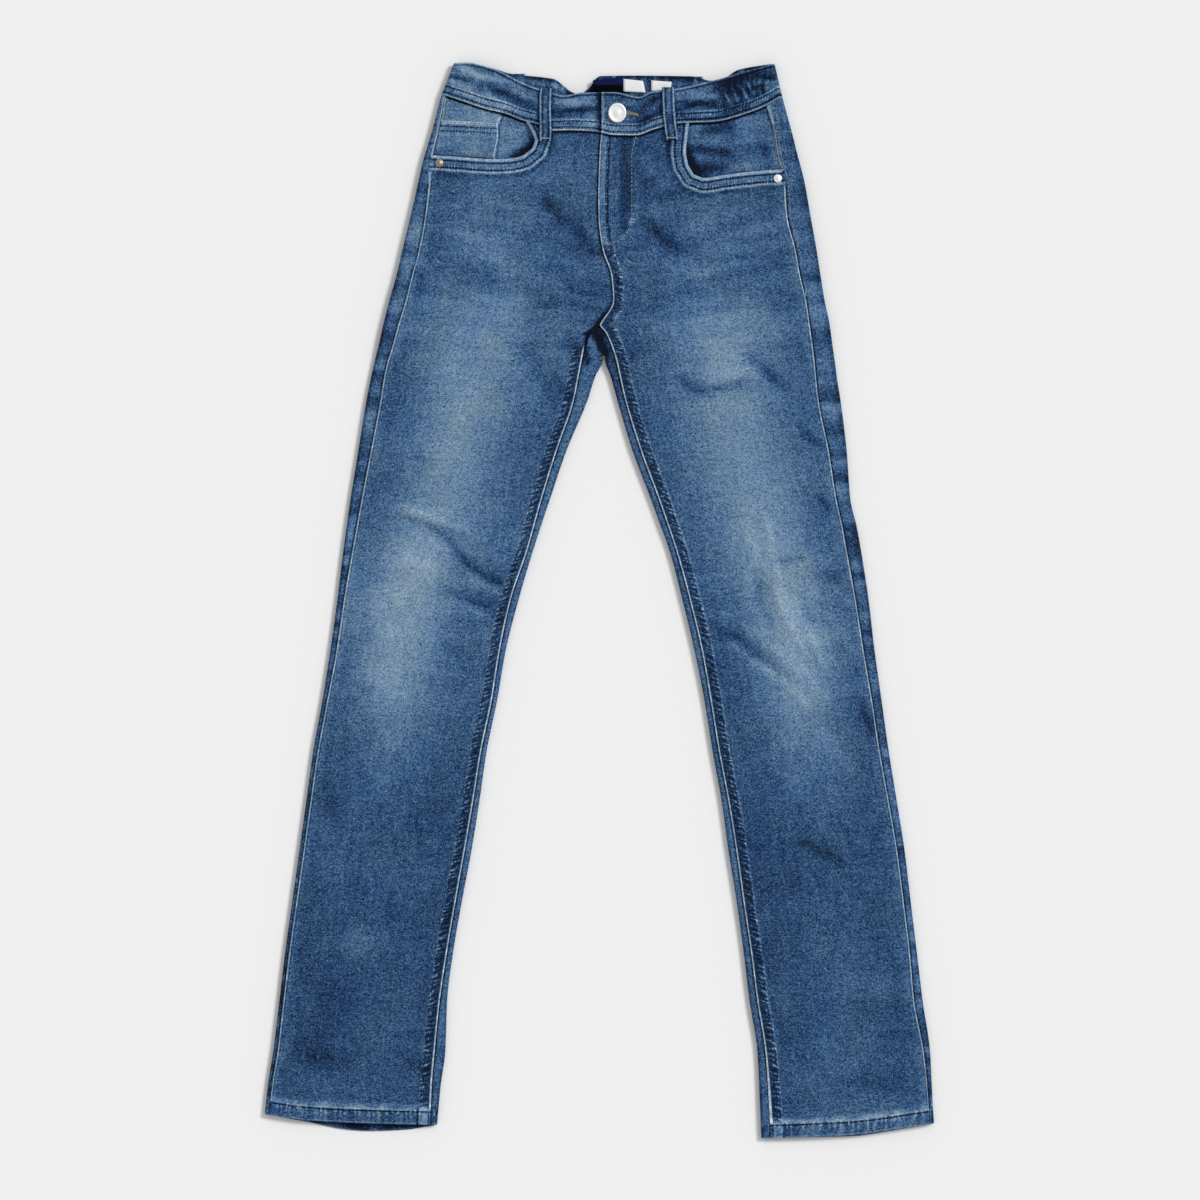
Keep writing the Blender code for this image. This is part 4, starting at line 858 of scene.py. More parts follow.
def within(points, x, y):
    """Whether places are inside a closed outline."""
    hit = np.zeros(np.shape(x), dtype=bool)
    for (ax, ay), (bx, by) in zip(points, points[1:] + points[:1]):
        if ay == by:
            continue
        crosses = (ay > y) != (by > y)
        hit ^= crosses & (x < ax + (y - ay) * (bx - ax) / (by - ay))
    return hit


def snap_cells(x, y, outline, inside_kept):
    """Cells whose middle is on the kept side of an outline, their border moved onto it."""
    mid_x = (x[:-1, :-1] + x[1:, 1:] + x[:-1, 1:] + x[1:, :-1]) / 4
    mid_y = (y[:-1, :-1] + y[1:, 1:] + y[:-1, 1:] + y[1:, :-1]) / 4
    keep = within(outline, mid_x, mid_y) == inside_kept
    touched, lost = np.zeros(x.shape, bool), np.zeros(x.shape, bool)
    for dj in (0, 1):
        for dk in (0, 1):
            rows, columns = keep.shape
            touched[dj:rows + dj, dk:columns + dk] |= keep
            lost[dj:rows + dj, dk:columns + dk] |= ~keep
    border = touched & lost
    _, _, px, py = nearest_on(outline + outline[:1], x, y)
    return keep, np.where(border, px, x), np.where(border, py, y)


def stand_for(obj, node):
    """Let a piece stand for a CAD node, by hiding the node."""
    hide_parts(node)
    return obj


# Panels
def leg_columns(a, b):
    """Places across a front: close at both seams, even between."""
    near_side = np.array([0.0, 0.5, 1.0, 1.7, 2.6, 4.0, 6.0])
    near_inner = np.array([12.5, 11.0, 10.0, 9.2, 8.4, 7.4, 6.2, 5.0, 3.8, 2.6, 1.7, 1.0, 0.5, 0.0])
    sign = np.sign(b - a)[:, None]
    left = a[:, None] + sign * near_side[None, :]
    right = b[:, None] - sign * near_inner[None, :]
    part = np.linspace(0.0, 1.0, 38)[1:-1][None, :]
    middle = left[:, -1:] + (right[:, :1] - left[:, -1:]) * part
    return np.concatenate([left, middle, right], axis=1)


def front_shell(side):
    """Fine front panel with its hem, felled inseam, pocket mouth and fly."""
    sign = SIDES[side][1]
    half_gap = SEAM_GAP / 2
    rows = np.concatenate([np.arange(HEM_ROW, 404.0, ROW_STEP), [405.0]])
    a = side_seam[side](rows) - sign * half_gap
    b = inner_edge(side, rows) + sign * half_gap
    x = leg_columns(a, b)
    y_row = np.repeat(rows[:, None], x.shape[1], axis=1)
    y = y_row + hem_shift(side, x, y_row, hem_front)
    y = y + ease((y_row - 330) / 75) * (seam_line(side, x) - half_gap - 405)
    mouth = list(reversed(SCOOP_LINE[side]))
    far = -200 if side == "left" else 230
    opening = [(far, mouth[0][1])] + mouth + [(mouth[-1][0], 470), (far, 470)]
    keep, x, y = snap_cells(x, y, opening, False)
    from_mouth, along_mouth, _, _ = nearest_on(SCOOP_LINE[side], x, y)
    slope = seam_slope(lambda at: inner_edge(side, at), y)
    from_inner = np.abs(x - inner_edge(side, y)) / slope
    from_side = np.abs(x - side_seam[side](y))
    from_hem = y - hem_front[side](x)
    from_waist = seam_line(side, x) - y
    z = top(side, x, y) + lift(side, x, y) + front_relief(side, x, y)
    settle = ease(from_side / 5) * ease(from_inner / 5)
    z = z + settle * creases(x, y, CREASES)
    z = z + 0.25 * (noise(x, y, 16, 22, 11) - 0.5) * settle
    # Groove beside the felled inseam
    z = z - 0.35 * bell(from_inner - 10.6, 1) * (y < 238)
    # Pale along the side seam; painted shadow outside the pocket mouth's hem and beside the belt
    # loops
    tone = wash(side, x, y) + 0.10 * bell(from_side - 4, 3)
    tone = tone - 0.34 * bell(from_mouth - 14.6, 1.7)
    tone = tone - 0.25 * loop_shade(x, y)
    # Worn ridge above the hem, and puckers in it
    tone = tone + 0.85 * bell(from_hem - 14, 2.4) * (noise(x, y, 7, 30, 9) + 0.1)
    tone = tone + 0.30 * (noise(x, 0 * y, 3, 9, 10) - 0.5) * ease(HEM_DEPTH - from_hem)
    leg = ease((238 - y) / 4)
    clear = ease((from_mouth - 13) / 3) * ease((from_hem - 13.5) / 2)
    attributes = {
        "side": vectors(from_side, y, clear),
        "hem": vectors(from_hem, x, (from_hem < SEAM_REACH) * 1),
        "mouth": vectors(from_mouth, along_mouth, (from_mouth < SEAM_REACH) * 1),
        "waist": vectors(from_waist, x, (from_waist < SEAM_REACH) * ease((from_mouth - 2) / 2)),
    }
    inseam = leg * ease((from_hem - 12.5) / 1.5)
    if sign > 0:
        # Dark inside the fly's curve, pale on it, and a rough patch beside it
        in_fly = ease((x - FLY_LINE_X(y)) / -1.5) * ease((y - 309) / 1.5)
        deep = 0.88 * ease((x - 15) / 4) * (0.7 + 0.3 * bell(y - 355, 30))
        tone = tone + (0.02 - 0.30 * deep) * in_fly * ease((from_inner - 8.5) / 1.5)
        tone = tone + 0.5 * bell(x - FLY_LINE_X(y), 0.5) * ease((y - 312) / 2)
        rough = bell(x - 42, 16) * bell(y - 350, 30)
        tone = tone + 0.5 * rough * (noise(x, y, 9, 11, 13) - 0.55)
        inseam = np.maximum(inseam, ease((308 - y) / 3) * ease((from_hem - 12.5) / 1.5))
        on_fly = ease((y - 307) / 3) * (from_inner < SEAM_REACH)
        attributes["fly"] = vectors(from_inner, y, on_fly)
    else:
        # Painted shade along the centre front and in the hollow at the crotch, both also sunk a
        # little
        shade = bell(from_inner, 1.5) * ease((y - 219) / 3)
        inseam = inseam * ease((224 - y) / 7)
        ragged = 1.4 + 2.6 * noise(x, y, 2.6, 2.6, 17)
        at_crotch = ease((251 - y) / 3) * ease((y - 229) / 3)
        hollow = np.exp(-(from_inner / ragged) ** 4) * at_crotch
        tone = tone - 0.60 * shade - 1.3 * hollow
        z = z - 0.5 * shade - 0.6 * hollow
    attributes["inseam"] = vectors(from_inner, y * slope, inseam * (from_inner < SEAM_REACH))
    # The felled inseam crosses the hem as a pale patch between two dark lines
    patch = (ease((13.6 - from_hem) / 0.6) * ease((from_inner - 0.6) / 0.6)
             * ease((10.4 - from_inner) / 0.6))
    lines = bell(from_inner - 10.8, 0.6) + bell(from_inner - 1.4, 0.5)
    tone = tone + 0.42 * patch - 0.8 * lines * ease((13.6 - from_hem) / 0.6)
    attributes["wash"] = tone
    middle = (side_seam[side](y) + inner_edge(side, y)) / 2
    attributes["grain"] = vectors(x - middle, y, 0)
    obj = grid_shell("shell_front_" + side, x, y, z, attributes, keep, flip=side == "right",
                     paint="denim_front")
    return stand_for(obj, "front_" + side)


def tube_column(side, y, zone, part):
    """Outer x, z of the back along a whole column of rows."""
    sign = SIDES[side][1]
    seat = y > APEX + 0.01
    rest = rest_level(y)
    level = rest + FOLD_RADIUS
    outer = fold_out[side](y) - sign * FOLD_RADIUS
    inner = fold_in[side](y) + sign * FOLD_RADIUS
    half_gap = SEAM_GAP / 2
    slant = CENTRE_BACK - 3.6 * (y - APEX) / (CROTCH + 3 - APEX) + sign * half_gap
    if zone == "strip_out":
        start = side_seam[side](y) + sign * half_gap
        x = start + (outer - start) * part
        return x, top(side, x, y)
    if zone == "strip_in":
        start = np.where(seat, slant, inner)
        end = inner_edge(side, y) - sign * half_gap
        x = start + (end - start) * part
        return x, top(side, x, y)
    if zone == "floor":
        end = np.where(seat, CENTRE_BACK + sign * half_gap, inner)
        return outer + (end - outer) * part, rest + 0 * y
    angle = math.radians(90 - 180 * part)
    if zone == "bend_out":
        return (outer + sign * FOLD_RADIUS * math.cos(angle),
                level + FOLD_RADIUS * math.sin(angle))
    x = inner - sign * FOLD_RADIUS * math.cos(angle)
    z = level - FOLD_RADIUS * math.sin(angle)
    if part == 1:
        return np.where(seat, slant, x), np.where(seat, top(side, slant, y), z)
    return x, z


def zone_steps(counts):
    """Columns round a cross-section: zone name and how far through it."""
    steps = [(counts[0][0], 0)]
    for zone, count in counts:
        steps += [(zone, (i + 1) / count) for i in range(count)]
    return steps


def yoke_seam(zone, part):
    """Height of the yoke seam: level at the side, falling to the centre back."""
    return YOKE_SIDE + (YOKE_CENTRE - YOKE_SIDE) * (part if zone == "floor" else 0)


def loop_shade(x, y):
    """Shade that the front belt loops cast on what lies beside them."""
    total = 0 * (x + y)
    for upper_end, lower_end, width in FRONT_LOOPS.values():
        away = line_distance((upper_end, lower_end), x, y) - width / 2
        total = total + bell(np.maximum(away, 0), 1.6)
    return total


def back_shell(side):
    """Fine back panel, wrapped round both folds."""
    steps = zone_steps((("strip_out", 9), ("bend_out", 8), ("floor", 14), ("bend_in", 8),
                        ("strip_in", 6)))
    # Rows of their own where the legs part and at the crotch
    rows = np.concatenate([np.arange(HEM_ROW, APEX - 1.0, ROW_STEP), [APEX],
                           np.arange(APEX + 2.0, CROTCH - 1.0, 2.3), [CROTCH],
                           np.arange(CROTCH + 2.4, 404.0, 2.4), [YOKE_SIDE - SEAM_GAP / 2]])
    columns = []
    for zone, part in steps:
        drop = ease((rows - 300) / 106) * (YOKE_SIDE - yoke_seam(zone, part))
        y = rows - drop
        x, z = tube_column(side, y, zone, part)
        if zone.startswith("strip"):
            seam = side_seam[side](y) if zone == "strip_out" else inner_edge(side, y)
            settle = ease(np.abs(x - seam) / 4)
            z = z + settle * creases(x, y, CREASES)
        y = y + hem_shift(side, x, rows, hem_back if zone == "floor" else hem_front)
        columns.append((x, y, z))
    x, y, z = (np.stack(v, axis=1) for v in zip(*columns))
    names = np.array([zone for zone, _ in steps])
    keep = np.ones((len(rows) - 1, len(steps) - 1), bool)
    low = rows[:-1, None]
    keep &= ~((names[1:][None, :] == "bend_in") & (low > APEX - 0.01))
    keep &= ~((names[1:][None, :] == "strip_in") & (low > CROTCH - 0.01))
    out_side = np.isin(names, ["strip_out", "bend_out"])[None, :]
    in_side = np.isin(names, ["bend_in", "strip_in"])[None, :]
    from_side = np.abs(x - side_seam[side](y))
    from_inner = np.abs(x - inner_edge(side, y))
    # Soft waves along the side seam
    bulge = np.where(out_side, 0.35 * bell(from_side - 5, 4)
                     * np.cos(2 * math.pi * (y / 8.3 + 3 * noise(y, y, 40, 40, 21))), 0)
    z = z + bulge * (names == "strip_out")[None, :]
    from_hem = y - hem_front[side](x)
    on_floor = (names == "floor")[None, :]
    from_end = np.where(on_floor, y - hem_back[side](x), from_hem)
    # Cloudy ground, a little paler at the seat and in the inner strip, darker near the hem; creases
    # worn pale on top, painted shade in their troughs
    tone = 0.33 + 0.16 * (noise(x, y, 30, 50, 31) - 0.5) + 0.05 * ease((y - 100) / 200)
    tone = tone + 0.10 * creases(x, y, CREASES)
    tone = tone + 0.08 * in_side - 0.06 * ease((-300 - y) / 60)
    # Pulls from the side seam, and painted shade where the cloth turns under
    part_out = from_side / np.abs(fold_out[side](y) - side_seam[side](y))
    pulls = noise(x * 0.3, y, 30, 7, 37) - 0.5
    turning_shade = ease((part_out - 0.55) / 0.45)
    tone = tone + out_side * (0.60 * pulls * ease(from_side / 2) - 0.26 * turning_shade)
    # Painted shade where the inner strip turns under, all the more at the right thigh
    part_in = from_inner / np.abs(fold_in[side](y) - inner_edge(side, y))
    tone = tone - 0.22 * in_side * ease((part_in - 0.6) / 0.4)
    if side == "right":
        tone = tone - 0.30 * in_side * ease((y - 120) / 90)
    # Painted shade in the hollow at the crotch, also sunk a little
    reach = 1.7 + 1.8 * noise(x, y, 3, 3, 39) + 1.6 * ease((y - 222) / 10)
    hollow = bell(line_distance(HOLLOW, x, y), reach) * ease((y - 208) / 4)
    hollow = hollow + 0.8 * bell(line_distance(HOLLOW_FOLD, x, y), 1.5)
    hollow = hollow * in_side
    tone = tone - 1.1 * hollow
    z = z - 1.4 * np.minimum(hollow, 1) * (names == "strip_in")[None, :]
    # Streaked inside of the back's hem, below the front's, under painted shadow from the front's
    # hem, darkest just below its edge
    below = on_floor * ease(-from_hem / 0.6 + 1.5)
    streaks = noise(x, 0 * y, 2.8, 9, 35) - 0.5
    tone = tone + below * (0.7 * streaks - 0.16 - 0.25 * bell(from_hem, 1.4))
    attributes = {
        "pull": vectors(from_side, y, out_side * ease((from_hem - 13) / 2)
                        * (1 - 3.2 * ease((y - 364) / 6))),
        "under": vectors(from_inner, y, in_side * 1),
        "inside": vectors(from_end, x, (from_end < SEAM_REACH) * 0.8),
        "wash": tone,
        "grain": vectors(x, y, 0),
    }
    obj = grid_shell("shell_back_" + side, x, y, z, attributes, keep, flip=side == "left",
                     paint="denim_back")
    return stand_for(obj, "back_" + side)


def yoke_shell(side):
    """Fine back yoke of one side."""
    sign = SIDES[side][1]
    steps = zone_steps((("strip_out", 6), ("bend_out", 6), ("floor", 24)))
    low, high = [], []
    for zone, part in steps:
        y = yoke_seam(zone, part) + SEAM_GAP / 2
        x, z = tube_column(side, np.array([y]), zone, part)
        low.append((float(x[0]), y, float(z[0])))
        x, z = tube_column(side, np.array([438.0]), zone, part)
        corner = fold_out[side](438) - sign * FOLD_RADIUS
        seams = {"strip_out": seam_line(side, x[0]), "bend_out": back_line(corner),
                 "floor": back_line(x[0])}
        high.append((float(x[0]), float(seams[zone]) - SEAM_GAP / 2, float(z[0])))
    part = np.linspace(0.0, 1.0, 16)[:, None, None]
    points = np.array(low)[None] * (1 - part) + np.array(high)[None] * part
    x, y, z = points[..., 0], points[..., 1], points[..., 2]
    names = np.array([zone for zone, _ in steps])
    out_side = np.isin(names, ["strip_out", "bend_out"])[None, :]
    tone = 0.40 + 0.16 * (noise(x, y, 30, 50, 33) - 0.5)
    from_seam = part[..., 0] * (y[-1:] - y[:1])
    attributes = {
        "pull": vectors(np.abs(x - side_seam[side](y)), y, out_side * -1.6),
        "inside": vectors(from_seam, x, 0.8 + 0 * x),
        "wash": tone,
        "grain": vectors(x, y, 0),
    }
    obj = grid_shell("shell_yoke_" + side, x, y, z, attributes, flip=side == "left",
                     paint="denim_back")
    return stand_for(obj, "yoke_" + side)


def pleats(x, y):
    """Waves of the band's gathered right end, from -1 to 1."""
    return np.cos(2 * math.pi * (x - 115.5 + 5 * noise(x, y, 14, 18, 41)) / 5.6)


def band_tone(x, y, up, along, tall, front):
    """Tone of the waistband from its columns, which run from the underlap all round."""
    outside, inside, on_front = front > 0.5, front < 0.5, front > 0.95
    tone = 0.36 + 0.55 * (noise(along, up, 22, 3, 51) - 0.5)
    tone = tone + 0.3 * (noise(x, y, 40, 12, 53) - 0.5)
    tone = tone + 0.30 * (noise(along, up, 6, 6, 52) - 0.5)
    # Painted shade over the gathers at the right, pale over the left
    tone = tone - 0.50 * bell(x - 118, 26) * outside
    tone = tone + 0.10 * bell(x + 96, 26) * outside
    # Pale crests of the pleats
    gathered = ease((x - 108) / 10) * on_front
    tone = tone + 0.15 * pleats(x, y) * gathered * ease((up - 9) / 4)
    # Creases, worn pale on top and with painted shade in their troughs, and the belt loops' painted
    # shadow
    fine = creases(x, y, BAND_CREASES)
    shape = 0.16 * folds(x, y, BAND_FOLDS) + 0.65 * np.maximum(fine, 0) + 0.42 * np.minimum(fine, 0)
    tone = tone + shape * outside - 0.28 * loop_shade(x, y) * on_front
    tone = tone + 0.16 * bell(x + 118, 20) * outside
    # Inner side: pale stripes where it is gathered, a dark top edge, and painted shadow under the
    # label
    stripes = noise(x, 0 * y, 3.2, 9, 55)
    tone = tone + inside * (0.45 * ease((stripes - 0.62) / 0.2) - 0.14)
    top_line = bell(np.maximum(tall - up - 0.8, 0), 0.8)
    tone = tone - 0.55 * inside * top_line
    shadow_under_label = ease((x + 14) / 3) * ease((21 - x) / 2) * ease((449 - y) / 2)
    tone = tone - 0.9 * inside * shadow_under_label
    # Worn end of the overlap, and its shade on the underlap
    order = np.arange(len(x))[:, None]
    tone = tone + 0.7 * bell(x - 2, 1.1) * (order > len(x) - 12)
    tone = tone - 0.6 * bell(np.maximum(-1 - x, 0), 2.2) * (x < 1) * (order < 60)
    return tone


def waistband_shell():
    """Fine waistband all round, gathered at the back and at the right side."""
    g = np.array([0.0, 0.03, 0.07, 0.12, 0.17, 0.21, 0.25, 0.29, 0.34, 0.4, 0.47, 0.54, 0.61, 0.68,
                  0.75, 0.82, 0.88, 0.94, 0.975, 1])
    low, high = BAND_LOW, BAND_HIGH
    columns = []

    def front_column(side, xb):
        """Points up the front of the band from a place on its lower edge."""
        sign = SIDES[side][1]
        start = BAND_X[side][0]
        f = (xb - start) / (low[side] - sign * BAND_RADIUS - start)
        xt = start + (high[side] - sign * BAND_RADIUS - start) * f
        yb, yt = waist_seam(xb) + SEAM_GAP / 2, band_top_front(xt)
        x, y = xb + (xt - xb) * g, yb + (yt - yb) * g
        z = top(side, x, y) + BAND_RELIEF
        if side == "right":
            z = z + OVERLAP_LIFT * (1 - ease((x - 40) / 12))
            zone = ease((x - 108) / 10) * (0.45 + 0.55 * noise(x, y, 9, 12, 43))
            z = z + 0.75 * zone * (0.5 + 0.5 * pleats(x, y)) * ease((g - 0.18) / 0.15)
        z = z + folds(x, y, BAND_FOLDS) * ease(g / 0.12)
        z = z + creases(x, y, BAND_CREASES) * ease(g / 0.12) * ease((1 - g) / 0.06)
        z = z + np.interp(g, [up for up, _ in BAND_ROWS], [relief for _, relief in BAND_ROWS])
        z = z + 0.9 * (noise(x, y, 11, 6, 45) - 0.5) * ease(g / 0.2) * ease((1 - g) / 0.1)
        columns.append((x, y, z, np.full_like(g, 1.0)))

    def bend_column(side, turn):
        """Points up the band where it turns round a side fold."""
        sign = SIDES[side][1]
        angle = math.radians(90 - 180 * turn)
        mid = low[side] + (high[side] - low[side]) * g - sign * BAND_RADIUS
        low_x, high_x = low[side] - sign * BAND_RADIUS, high[side] - sign * BAND_RADIUS
        yb = waist_seam(low_x) + (back_line(low_x) - waist_seam(low_x)) * turn
        yt = band_top_front(high_x) + (band_top_back(high_x) - band_top_front(high_x)) * turn
        y = yb + SEAM_GAP / 2 + (yt - yb - SEAM_GAP / 2) * g
        level = SEAT_LIFT + BAND_RADIUS
        columns.append((mid + sign * BAND_RADIUS * math.cos(angle), y,
                        level + BAND_RADIUS * math.sin(angle) + 0.0 * g, np.full_like(g, 0.9)))

    def back_column(f):
        """Points up the back of the band, on its inner side."""
        xb, xt = (x["left"] + BAND_RADIUS + (x["right"] - x["left"] - 2 * BAND_RADIUS) * f
                  for x in (low, high))
        yb, yt = back_line(xb) + SEAM_GAP / 2, band_top_back(xt)
        x, y = xb + (xt - xb) * g, yb + (yt - yb) * g
        zone = ease((x + 60) / 15) - ease((x - 95) / 15)
        wave = 0.5 + 0.5 * np.cos(2 * math.pi * (x + 6 * noise(x, y, 16, 40, 47)) / 10)
        z = SEAT_LIFT + GATHER * wave ** 1.5 * zone * np.minimum(1, 2 * g)
        columns.append((x, y, z, np.full_like(g, 0.0)))

    for xb in np.arange(UNDERLAP_END, -135.0, -1.7):
        front_column("left", xb)
    turns = np.linspace(0, 1, 9)
    for turn in turns:
        bend_column("left", turn)
    for f in np.linspace(0.0, 1.0, 170)[1:-1]:
        back_column(f)
    for turn in turns[::-1]:
        bend_column("right", turn)
    for xb in np.arange(154.5, 1.4, -1.5):
        front_column("right", xb)
    front_column("right", 1.4)
    x, y, z, front = (np.stack(v, axis=0) for v in zip(*columns))
    tall = np.hypot(x[:, -1] - x[:, 0], y[:, -1] - y[:, 0])[:, None]
    up = g[None, :] * tall
    run = np.cumsum(np.hypot(np.diff(x[:, 0]), np.diff(y[:, 0])))
    along = np.concatenate([[0], run])[:, None]
    attributes = {
        "band": vectors(up, along, 0 * front + 1),
        "rim": vectors(tall - up, along, 0.35 + 0.65 * (front > 0.5)),
        "wash": band_tone(x, y, up, along, tall, front),
        "grain": vectors(y, x, 0),
    }
    obj = grid_shell("shell_waistband", x, y, z, attributes, wall=1.3, paint="denim_band")
    return stand_for(obj, "waistband")


def flat_shell(name, outline, step, height, attributes, wall, flip=False):
    """A small shell over an outline from an even grid."""
    xs = np.arange(min(p[0] for p in outline) - step, max(p[0] for p in outline) + 2 * step, step)
    ys = np.arange(min(p[1] for p in outline) - step, max(p[1] for p in outline) + 2 * step, step)
    x, y = np.meshgrid(xs, ys)
    keep, x, y = snap_cells(x, y, outline, True)
    return grid_shell(name, x, y, height(x, y), attributes(x, y), keep, flip, wall, "denim_pocket")


def facing_shell(side):
    """Pocket facing seen in the mouth of a front pocket."""
    sign = SIDES[side][1]
    half_gap = SEAM_GAP / 2
    edge = spline(FACING_EDGE[side], 6)
    end_x = float(side_seam[side](436.0 if side == "left" else 429.0)) - sign * half_gap
    outline = [(x, float(seam_line(side, x)) - half_gap)
               for x in np.linspace(end_x, edge[0][0], 24)]
    outline += edge[1:-1]
    outline += [(float(side_seam[side](y)) - sign * half_gap, float(y))
                for y in np.linspace(edge[-1][1], 424.0 if side == "right" else 430.0, 12)]
    dips = FACING_DIPS[side]

    def height(x, y):
        """A little under the front, with dips."""
        return top(side, x, y) - CLOTH - FACING_DROP + np.minimum(creases(x, y, dips), 0)

    def attributes(x, y):
        """Tone, weave and seams of the facing, with painted shade along the pocket mouth and in its
        dips.
        """
        tone = 0.68 + 0.4 * (noise(x, y, 16, 8, 61) - 0.5) + 0.30 * creases(x, y, dips)
        tone = tone - 0.31 * (side == "right")
        under, _, _, _ = nearest_on(SCOOP_LINE[side], x, y)
        corner_x, corner_y = MOUTH_SHADE[side]
        mouth_end = bell(np.hypot(x - corner_x, y - corner_y), 14)
        tone = tone - (0.15 + 1.2 * mouth_end) * bell(under, 2 + 5.5 * mouth_end)
        if side == "left":
            seam_x = np.interp(y, (385, 412, 422), (-91.5, -89.4, -86.4))
            tone = tone + 0.8 * bell(x - seam_x, 0.8) * (y > 414)
            tone = tone - 0.5 * bell(x - seam_x - 2, 0.9)
        return {"wash": tone, "grain": vectors(x, y, 0),
                "side": vectors(np.abs(x - side_seam[side](y)), y, 1 + 0 * x),
                "waist": vectors(seam_line(side, x) - y, x, 1 + 0 * x)}

    obj = flat_shell("shell_facing_" + side, outline, 1.7, height, attributes, 0.8)
    return stand_for(obj, "facing_" + side)


def coin_shell():
    """Coin pocket on the left facing."""
    rim, right_edge = spline(COIN_EDGE[:3], 6), spline(COIN_EDGE[2:6], 6)
    outline = rim[:-1] + right_edge[:-1] + spline(COIN_EDGE[5:], 6)
    outline = [(max(x, float(side_seam["left"](y)) + 0.4), y) for x, y in outline]

    def height(x, y):
        """One cloth above the facing, more at the top hem."""
        hem = 0.4 * (1 - ease((line_distance(rim, x, y) - 10) / 1.6))
        return top("left", x, y) - CLOTH - FACING_DROP + SEAM_GAP + COIN_WALL + hem

    def attributes(x, y):
        """Tone, weave and seams of the coin pocket."""
        tone = 0.52 + 0.4 * (noise(x, y, 14, 6, 65) - 0.5)
        from_rim, along, _, _ = nearest_on(rim, x, y)
        from_edge, along_edge, _, _ = nearest_on(right_edge, x, y)
        return {"wash": tone, "grain": vectors(x, y, 0),
                "coin": vectors(from_rim, along, 1 + 0 * x),
                "side": vectors(from_edge, along_edge, 0.75 + 0 * x)}

    obj = flat_shell("shell_coin_pocket", outline, 1.5, height, attributes, 0.6)
    return stand_for(obj, "coin_pocket")


def surface(objects):
    """A function that gives the highest point of some shells at x, y."""
    trees = []
    for obj in objects:
        mesh = obj.data
        points = np.empty(len(mesh.vertices) * 3)
        mesh.vertices.foreach_get("co", points)
        points = (points.reshape(-1, 3) / MM).tolist()
        trees.append(BVHTree.FromPolygons(points, [tuple(p.vertices) for p in mesh.polygons]))

    def height(x, y, reach=0):
        """Highest point at x, y and, with a reach, at eight places around."""
        best = 0
        steps = (-reach, 0, reach) if reach else (0,)
        for dx in steps:
            for dy in steps:
                for tree in trees:
                    hit = tree.ray_cast(Vector((x + dx, y + dy, 60)), Vector((0, 0, -1)))[0]
                    if hit:
                        best = max(best, hit.z)
        return best

    return height


def loop_shell(name, upper_end, lower_end, width, below, bulge=0.9):
    """A belt loop with rolled, worn edges."""
    steps = 34
    across = np.array([-1.0, -0.97, -0.88, -0.8, -0.7, -0.6, -0.5, -0.4, -0.2, 0.0,
                       0.2, 0.4, 0.5, 0.6, 0.7, 0.8, 0.88, 0.97, 1])
    crown = np.array([0.15, 0.7, 1.1, 1.2, 1.2, 1.0, 0.75, 0.8, 0.95, 1.0,
                      0.95, 0.8, 0.75, 1, 1.2, 1.2, 1.1, 0.7, 0.15])
    coarse = []
    for i in range(11):
        t = i / 10
        cx = upper_end[0] + (lower_end[0] - upper_end[0]) * t
        cy = upper_end[1] + (lower_end[1] - upper_end[1]) * t
        base = max(below(cx + dx, cy, 1.5) for dx in (-width / 2, 0, width / 2)) if below else 0
        lift_by = bulge * math.sin(math.pi * min(1, t / 0.85)) ** 2
        coarse.append(base + (SEAM_GAP if below else 0) + lift_by)
    x, y, z, away, along = ([] for _ in range(5))
    for i in range(steps + 1):
        t = i / steps
        cx = upper_end[0] + (lower_end[0] - upper_end[0]) * t
        cx += 0.5 * math.sin(5 * t + upper_end[0])
        cy = upper_end[1] + (lower_end[1] - upper_end[1]) * t
        base = float(np.interp(t * 10, range(11), coarse))
        edge = 1 - 0.02 * math.cos(19 * t)
        x.append(cx + across * edge * width / 2)
        y.append(np.full_like(across, cy))
        z.append(base + (CLOTH + 0.25) * crown / 1.2)
        away.append((1 - np.abs(across)) * width / 2)
        along.append(np.full_like(across, cy))
    x, y, z, away, along = (np.array(v) for v in (x, y, z, away, along))
    from_middle = np.abs(across)[None, :]
    tone = 0.32 + 0.4 * (noise(x, y, 3, 5, 71) - 0.5)
    # Pale worn edges, darker lines inside them, and painted shade on the outermost edge, where it
    # turns down
    tone = tone + 0.75 * bell(from_middle - 0.80, 0.12)
    tone = tone - 0.45 * bell(from_middle - 0.5, 0.14)
    tone = tone - 0.5 * (from_middle > 0.98)
    attributes = {"wash": tone, "grain": vectors(x, y, 0)}
    obj = grid_shell("shell_" + name, x, y, z, attributes, flip=True, wall=0.9)
    return stand_for(obj, name)


def back_pocket_shell(side):
    """Patch pocket under the seat, its worn edge and stitching on the hidden side."""
    cx = SIDES[side][1] * 80 + 3
    corners = [(cx - 52, 358), (cx, 360), (cx + 52, 358), (cx + 46, 276),
               (cx, 250), (cx - 46, 276)]
    outline = []
    for a, b in zip(corners, corners[1:] + corners[:1]):
        outline += [(a[0] + (b[0] - a[0]) * i / 12, a[1] + (b[1] - a[1]) * i / 12)
                    for i in range(12)]

    def attributes(x, y):
        """Tone, weave and worn edge of the pocket."""
        away, along, _, _ = nearest_on(outline + outline[:1], x, y)
        tone = 0.40 + 0.2 * (noise(x, y, 18, 22, 75) - 0.5)
        return {"wash": tone, "grain": vectors(x, y, 0),
                "fly": vectors(away, along, 1 + 0 * x)}

    obj = flat_shell("shell_pocket_back_" + side, outline, 2.6, lambda x, y: 0 * x, attributes,
                     1.1, flip=True)
    return stand_for(obj, "pocket_back_" + side)


